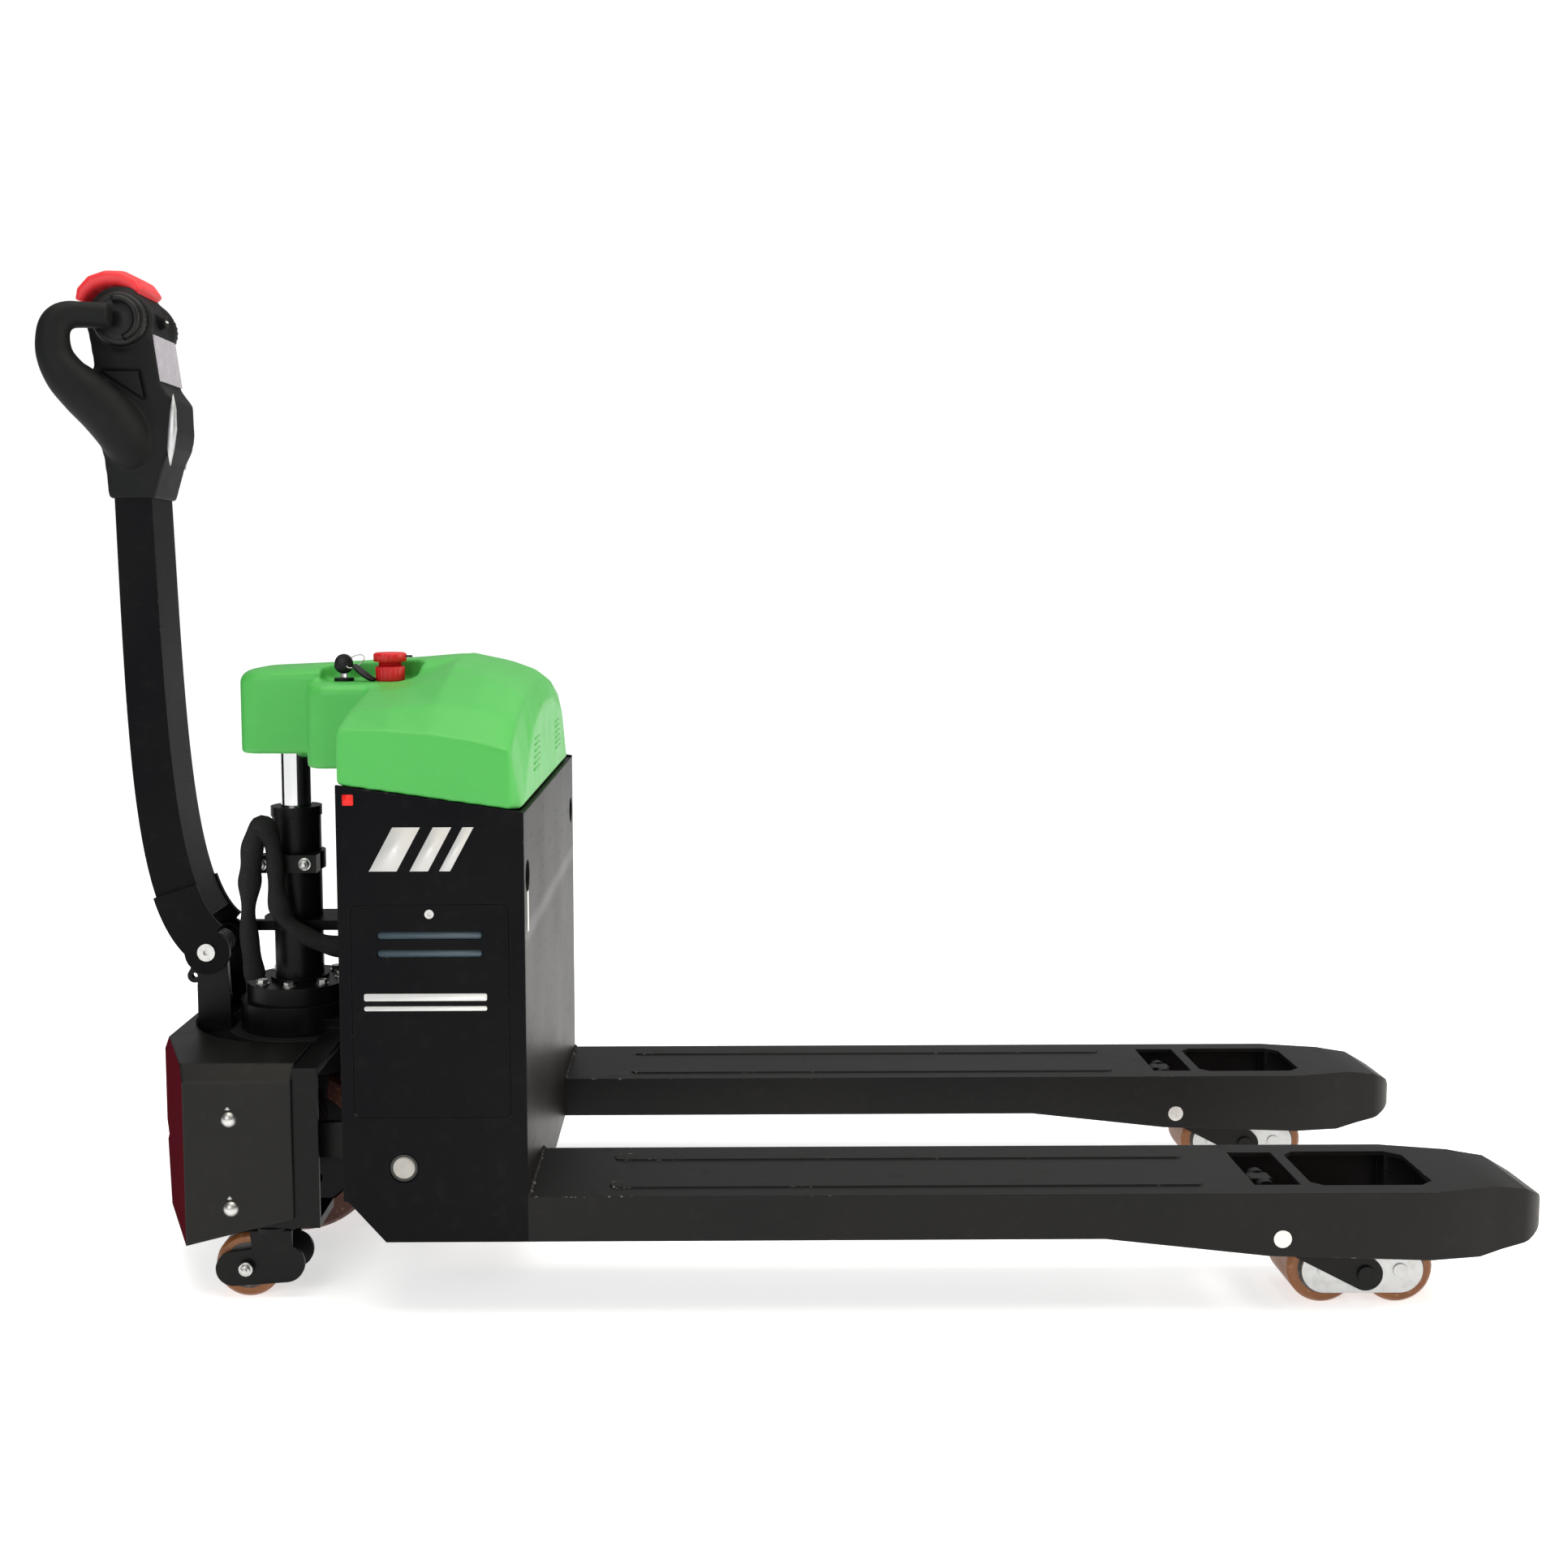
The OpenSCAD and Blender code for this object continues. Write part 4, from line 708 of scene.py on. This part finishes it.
# flat pocket for the stop button and the key
pocket = [(-270, -140), (-270, -40), (-262, -34), (-172, -34), (-158, -40), (-146, -60), (-156, -84),
          (-190, -104), (-222, -120), (-228, -140)]
stop_hole = lathe((stop_x, stop_y, DECK - 30), (0, 0, 1), [(0, 14.5), (40, 14.5)])
carve(hood, [prism(pocket, 2, DECK, DECK + 60), stop_hole])
settle(hood, *voxels(2.6, 4))
place(hood, "chassis", "hood_plastic", "hood")

VENTS, VENT_Z, VENT_PITCH = 6, 600, 7
vents = []
for i in range(VENTS):
    z = VENT_Z + VENT_PITCH * i
    reach = 150 - 3 * i
    for s in (-1, 1):
        y0, y1 = span(s, 88, reach)
        line = [Vector((HEEL - 0.6, y, z)) for y in (y0, (y0 + y1) / 2, y1)]
        vents.append(tube(line, 1.5, 8))
place(joined("hood_vents", vents, hood_plastic), "chassis", "hood_plastic")

# ---------------------------------------------------------------- stop button and key
collar_top = stop_hi[2]
cap_lo, cap_hi = node_box("estop_button")
barrel_low = DECK - 22
rim_at = collar_top - barrel_low
barrel = lathe((stop_x, stop_y, barrel_low), (0, 0, 1),
               [(0, 13.5), (21.5, 13.5), (22, 16.5), (24, 17), (rim_at - 1, 17), (rim_at, 16), (rim_at, 14.6),
                (rim_at - 6.5, 14.6), (rim_at - 6.5, 10.3), (cap_lo[2] - 5.8 - barrel_low, 10.3)], 96,
               lambda a, h: 0.55 * math.cos(24 * a) if h > 22.5 else 0)
place(joined("stop_barrel", [barrel], stop_plastic), "chassis", "red_plastic", "estop_base")
cap_low = collar_top + 5.5
cap = lathe((stop_x, stop_y, 0), (0, 0, 1),
            [(cap_lo[2], 9.5), (collar_top - 0.9, 9.5), (collar_top - 0.8, 13.7), (cap_low - 0.5, 13.7),
             (cap_low, 18), (cap_low + 0.8, 19.2), (cap_hi[2] - 2.6, 19.4),
             (cap_hi[2] - 1.2, 18.6), (cap_hi[2] - 0.3, 16.5), (cap_hi[2], 12.0), (cap_hi[2] - 0.3, 4.0)], 96,
            lambda a, h: 0.5 * math.cos(18 * a) if cap_low + 0.5 < h < cap_hi[2] - 2 else 0)
place(joined("stop_cap", [cap], stop_plastic), "stop_button", "red_plastic", "estop_button")
pin_line = [Vector((stop_x + 18 + 3 * k, stop_y, cap_hi[2] - 5)) for k in range(4)]
place(joined("stop_pin", [tube(pin_line, 1.3, 8)], key_plastic), "stop_button", "black_plastic")

# the key: bow, blade, and a ring with a fob
k_lo, k_hi = node_box("key")
bow_z = k_hi[2] - 12
bow = prism([(key_x + 12 * math.cos(a) * (1.0 if math.sin(a) < 0 else 0.92), bow_z + 12 * math.sin(a))
             for a in (2 * math.pi * k / 28 for k in range(28))], 1, key_y - 3, key_y + 3, 1.2)
blade_outline = rounded_rect(key_x - 4.2, k_lo[2], key_x + 4.2, bow_z - 6, 1.5)
blade = prism(blade_outline, 1, key_y - 1.3, key_y + 1.3, 0.3)
key_barrel = lathe((key_x, key_y, k_lo[2]), (0, 0, 1), [(0, 4.9), (14, 4.9), (15.5, 4.4)], 32)
place(joined("key_bow", [bow, key_barrel], key_plastic), "ignition_key", "black_plastic", "key")
place(joined("key_blade", [blade], zinc), "ignition_key", "zinc")
loop = [Vector((key_x + 14 + 11 * math.cos(a), key_y - 1 + 4 * math.sin(a),
                bow_z + 3 + 8 * math.sin(a + 0.5)))
        for a in (2 * math.pi * k / 24 for k in range(25))]
place(joined("key_ring", [tube(loop, 0.8, 8)], zinc), "ignition_key", "zinc")
fob_line = [Vector((key_x + 14, key_y - 6, bow_z - 2)), Vector((key_x + 24, key_y - 9, bow_z - 10)),
            Vector((key_x + 34, key_y - 11, bow_z - 17)), Vector((key_x + 40, key_y - 12, bow_z - 19))]


def fob_radius(t):
    return 3.2 + 4.6 * math.sin(math.pi * min(1, t * 0.75 + 0.2))


fob = tube(spline(fob_line, 5), fob_radius, 16, 0.45)
place(joined("key_fob", [fob], key_plastic), "ignition_key", "black_plastic")

# ---------------------------------------------------------------- tiller head
head_lo, head_hi = node_box("tiller_head")
shaft = node_box("butterfly")
hub_z = (shaft[0][2] + shaft[1][2]) / 2
shaft_x = (shaft[0][0] + shaft[1][0]) / 2
head_x = shaft_x - 4
neck_z = head_lo[2]
HEAD_HALF = head_hi[1]


def head_arc(r, a0, a1, n):
    """Points (X, Z) on an arc round the throttle's axis, from angle a0 to a1 in degrees."""
    return [(head_x + r * math.cos(math.radians(a0 + (a1 - a0) * k / n)),
             hub_z + r * math.sin(math.radians(a0 + (a1 - a0) * k / n))) for k in range(n + 1)]


outline = [(head_x - 21, neck_z), (head_x - 25, neck_z + 46), (head_x - 34, neck_z + 84),
           (head_x - 37, neck_z + 120), (head_x - 34, neck_z + 160), *head_arc(42, 200, 66, 18),
           (head_x + 28, neck_z + 230), (head_x + 33, neck_z + 213), (head_x + 36.5, neck_z + 198),
           (head_x + 44.5, neck_z + 138), (head_x + 59, neck_z + 118), (head_x + 60, neck_z + 80),
           (head_x + 56, neck_z + 61), (head_x + 47, neck_z + 44), (head_x + 34, neck_z)]
# middle line of a grip from the hub round to the neck: X, Y and Z from the hub, then the radius
grip_points = [(2, 78, 0, 15.5), (-30, 80, 1, 15.5), (-48, 82, 0, 16.5), (-58, 86, -9, 18),
               (-62, 88, -25, 19), (-60, 88, -48, 21), (-48, 85, -71, 25), (-31, 76, -91, 28),
               (-14, 60, -111, 30), (0, 42, -134, 31), (9, 22, -158, 30)]
web_points = [(-52, 80, -64), (-44, 66, -69), (-38, 50, -75), (-33, 32, -82)]


def grip_radius(t):
    """Radius of a grip at a share of its length."""
    k = min(len(grip_points) - 1.001, t * (len(grip_points) - 1))
    i = int(k)
    return grip_points[i][3] + (grip_points[i + 1][3] - grip_points[i][3]) * (k - i)


shells = [prism(outline, 1, -HEAD_HALF, HEAD_HALF)]
for s in (-1, 1):
    line = [(head_x + x, s * y, hub_z + z) for x, y, z, r in grip_points]
    shells.append(tube(spline(line, 6), grip_radius, 24))
    line = [(head_x + x, s * y, hub_z + z) for x, y, z in web_points]
    shells.append(tube(spline(line, 5), 18, 24))
    shells.append(lathe((shaft_x, s * (HEAD_HALF - 6), hub_z), (0, s, 0), [(0, 36), (10, 35), (12, 33)]))
head = joined("head_shell", shells, head_plastic)
settle(head, *voxels(2.4, 7))
triangle = [(head_x - 26, neck_z + 153), (head_x + 20, neck_z + 153), (head_x + 26, neck_z + 119)]
middle = (sum(p[0] for p in triangle) / 3, sum(p[1] for p in triangle) / 3)
recess = [(middle[0] + (x - middle[0]) * 1.14, middle[1] + (z - middle[1]) * 1.14) for x, z in triangle]
cuts = [prism(recess, 1, HEAD_HALF - 3, HEAD_HALF + 9), prism(recess, 1, -HEAD_HALF - 9, -HEAD_HALF + 3)]
carve(head, cuts)
settle(head, *voxels(1.9, 3))
horn_lo, horn_hi = node_box("horn_button")
HORN_GAP = 0.8
well = [(horn_lo[0] - 5, horn_lo[2] - HORN_GAP), (horn_hi[0] + 8, horn_lo[2] - HORN_GAP),
        (horn_hi[0] + 8, horn_hi[2] + HORN_GAP), (horn_lo[0] - 5, horn_hi[2] + HORN_GAP)]
carve(head, [prism(well, 1, horn_lo[1] - HORN_GAP, horn_hi[1] + HORN_GAP)])
place(head, "tiller", "head_plastic", "tiller_head", "grips")

# silver strips beside the display, and the mark on the horn button
SIDES = ((-1, "right"), (1, "left"))
for s, side_name in SIDES:
    strip = [(-447, 1046), (-444, 1028), (-444, 1003), (-448, 980), (-453, 960), (-456, 980), (-454.5, 1003),
             (-451, 1028)]
    strip_shell = prism([(x - 9, z) for x, z in strip] if s > 0 else strip, 1, *span(s, 38, 41.6), 0.6)
    place(joined("head_strip_" + side_name, [strip_shell], silver), "tiller", "zinc")

mark_line = [Vector((horn_hi[0] - 0.6, y, (horn_lo[2] + horn_hi[2]) / 2)) for y in (-4, 0, 4)]
place(joined("head_mark", [tube(mark_line, 1.4, 12)], label_white), "horn_key", "display")

# thumb paddles: ribbed disc with a hooked crescent
wing_in, wing_out = HEAD_HALF + 7.0, HEAD_HALF + 17.5
CRESCENT_STEPS = 18
paddles = []
for s in (-1, 1):
    paddles.append(lathe((shaft_x, s * wing_in, hub_z), (0, s, 0),
                         [(0, 29), (1.5, 31.5), (6, 32.3), (9.5, 31.7), (11.5, 30), (12, 28), (11, 25.5),
                          (11, 17), (12, 15), (12, 2)], 64,
                         lambda a, h: 0.5 * math.cos(30 * a) if 1.0 < h < 10 else 0))
    ring_list = []
    for i in range(CRESCENT_STEPS + 1):
        a = math.radians(105 - 180 * i / CRESCENT_STEPS)
        b = math.radians(-75 + 180 * (CRESCENT_STEPS - i) / CRESCENT_STEPS)
        ax, az = shaft_x + 0.5 + 27 * math.cos(a), hub_z + 0.5 + 27 * math.sin(a)
        bx, bz = shaft_x + 19.5 * math.cos(b), hub_z - 0.3 + 19.5 * math.sin(b)
        mx, mz = (ax + bx) / 2, (az + bz) / 2
        lift = s * (wing_out + 9 - 5 * abs(i / CRESCENT_STEPS - 0.45))
        low = s * (wing_in + 8)
        ring_list.append([at(bx, low, bz), at(bx, lift - s * 2, bz), at(mx, lift, mz),
                          at(ax, lift - s * 2, az), at(ax, low, az), at(mx, low, mz)])
    paddles.append(rings_shell(ring_list))
place(joined("thumb_paddles", paddles, key_plastic), "throttle", "head_plastic", "butterfly")

# reversing cap: a rounded bar that arches over the head; X, Z from the hub and half thickness
CAP_HALF = 38
cap_arch = [(head_x - 51, 25, 7), (head_x - 47, 36, 10), (head_x - 36, 47, 11), (head_x - 19, 52.5, 11),
            (head_x - 2, 52, 11), (head_x + 13, 45, 10.5), (head_x + 21, 36, 8)]
cap_rings = []
for i, (x, z, thick) in enumerate(cap_arch):
    before, after = cap_arch[max(i - 1, 0)], cap_arch[min(i + 1, len(cap_arch) - 1)]
    run = Vector((after[0] - before[0], 0, after[1] - before[1])).normalized()
    out_dir = Vector((-run.z, 0, run.x))
    ring = []
    for k in range(28):
        a = 2 * math.pi * k / 28
        c, q = math.cos(a), math.sin(a)
        wide = CAP_HALF * math.copysign(abs(c) ** 0.45, c)
        high = thick * math.copysign(abs(q) ** 0.6, q)
        ring.append(at(*(Vector((x, wide, hub_z + z)) + out_dir * high)))
    cap_rings.append(ring)
red_cap = joined("reverse_cap", [rings_shell(cap_rings)], red_plastic)
settle(red_cap, *voxels(1.8, 5))
place(red_cap, "reverse", "red_plastic", "reverse_button")

# ---------------------------------------------------------------- wiring sleeve
sleeve_path = [(-364, -47, 330), (-368, -47, 360), (-371, -47, 400), (-368, -49, 440), (-364, -54, 470),
               (-360, -55, 500), (-350, -54, 520), (-338, -52, 500), (-334, -53, 465), (-332, -54, 430),
               (-322, -54, 405), (-300, -53, 385), (-270, -52, 372), (-235, -50, 368), (-190, -50, 368)]


def sleeve_radius(t):
    """Folds along the sleeve, and a wider place at the top of its loop."""
    bulge = 3.0 * math.exp(-((t - 0.36) / 0.1) ** 2)
    return 10.5 + 1.6 * math.sin(31 * t) + 1.2 * math.sin(57 * t + 1) + bulge


wiring = joined("wiring_sleeve", [tube(spline(sleeve_path, 8), sleeve_radius, 20, 1.05)], sleeve)
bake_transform(wiring)
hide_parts("harness")

# ---------------------------------------------------------------- small parts on the chassis
panel_lo, panel_hi = node_box("access_panels")
mid_panel = (panel_lo[0] + panel_hi[0]) / 2
face_y = HALF + 1
BARS = ((-168, 30), (-124, 20), (-92, 12))
BAR_LOW, BAR_HIGH, BAR_LEAN = 506, 554, 26
STRIPE_X = (-176, -42)
for s, side_name in SIDES:
    strips = []
    for z in (panel_hi[2] - 34, panel_hi[2] - 54):
        window = rounded_rect(mid_panel - 57, z - 4, mid_panel + 57, z + 4, 3.9)
        strips.append(prism(window, 1, *span(s, face_y - 2.6, face_y - 1.4)))
    place(joined("panel_windows_" + side_name, strips, window_grey), "chassis", "frame_paint")
    # plain bars and stripes in place of lettering
    stripes = []
    for x, wide in BARS:
        bar = [(x, BAR_LOW), (x + wide, BAR_LOW),
               (x + wide + BAR_LEAN, BAR_HIGH), (x + BAR_LEAN, BAR_HIGH)]
        stripes.append(prism(bar, 1, *span(s, face_y, face_y + 0.25)))
    for low, high in ((352, 357), (363, 371)):
        stripe = rounded_rect(STRIPE_X[0], low, STRIPE_X[1], high, 2)
        stripes.append(prism(stripe, 1, *span(s, face_y - 0.2, face_y + 0.2)))
    place(joined("decal_stripes_" + side_name, stripes, label_white), "chassis", "display")
square = prism(rounded_rect(-195.5, 578, -183.5, 590, 1.2, 3), 1, -(face_y + 0.35), -face_y, 0.1)
place(joined("red_square", [square], label_red), "chassis", "red_plastic")

# blank label on the heel face
label_corners = [(-256, 433), (-244, 433), (-244, 478), (-256, 478)]
label_verts = [at(x, y, z) for x in (0.05, 0.35) for y, z in label_corners]
label_faces = [(0, 1, 5, 4), (1, 2, 6, 5), (2, 3, 7, 6), (3, 0, 4, 7), (4, 5, 6, 7), (3, 2, 1, 0)]
place(mesh_piece("heel_label", label_verts, label_faces, label_white, False), "chassis", "display")

# weld beads where the forks meet the heel plate
fork_top = node_box("fork_right")[1][2] - 1.5
FORK_MID, WELD_HALF, BEADS = 205, 73, 52
beads = []
for s in (-1, 1):
    centre = s * FORK_MID
    for k in range(BEADS):
        y = centre - WELD_HALF + 2 * WELD_HALF * k / (BEADS - 1)
        size = 3.0 + 0.7 * math.sin(k * 2.1) + 0.5 * noise.noise(Vector((k * 0.7, s, 0)))
        profile = [(0, size * 0.5), (1.0, size * 0.9), (1.9, size), (2.9, size * 0.9), (3.8, size * 0.5)]
        beads.append(lathe((0.5, y - 1.9, fork_top + 0.3), (0, 1, 0), profile, 10))
place(joined("heel_welds", beads, fork_paint), "chassis", "frame_paint")

# ---------------------------------------------------------------- small parts on the mast
band_lo, band_hi = node_box("clamp_band")
band_z = (band_lo[2] + band_hi[2]) / 2


def hexagon(centre, direction, across, high):
    """Hex nut on a washer, with the end of its bolt; across is from the middle to a corner."""
    shell = lathe(centre, direction, [(0, across), (high - 1, across), (high, across * 0.86)], 6)
    washer = lathe(centre, direction,
                   [(-1.2, across * 1.25), (-0.3, across * 1.25), (0, across * 1.1)], 28)
    tip = lathe(centre, direction,
                [(high - 1, across * 0.5), (high + 1.5, across * 0.5), (high + 2, across * 0.4)], 20)
    return [shell, washer, tip]


MAST_X = -321
bolts = []
for dx in (-34, 20):
    bolts += hexagon((MAST_X + dx, band_lo[1] - 1.0, band_z), (0, -1, 0), 6.5, 5)
place(joined("band_bolts", bolts, zinc), "lift_base", "zinc")

for s, side_name in SIDES:
    wheel_lo, wheel_hi = node_box("caster_wheel_" + side_name)
    fork_side = node_box("caster_fork_" + side_name)[0 if s < 0 else 1][1]
    axle = ((wheel_lo[0] + wheel_hi[0]) / 2, fork_side + s * 0.6, (wheel_lo[2] + wheel_hi[2]) / 2)
    caster_bolt = joined("caster_bolt_" + side_name, hexagon(axle, (0, s, 0), 6.5, 4), zinc)
    place(caster_bolt, "caster_" + side_name, "zinc")

# paint marks above the cover's screws
cover_y = node_box("front_cover")[1][1]
SCREW_X, SCREW_HEIGHTS = -346, (108, 212)
marks = []
for z in SCREW_HEIGHTS:
    mark = [(SCREW_X - 3, z + 12), (SCREW_X, z + 15), (SCREW_X + 3, z + 12), (SCREW_X + 1, z + 11),
            (SCREW_X - 1, z + 11)]
    for s in (-1, 1):
        marks.append(prism(mark, 1, *span(s, cover_y + 0.05, cover_y + 0.3)))
place(joined("screw_marks", marks, label_white), "lift_base", "display")
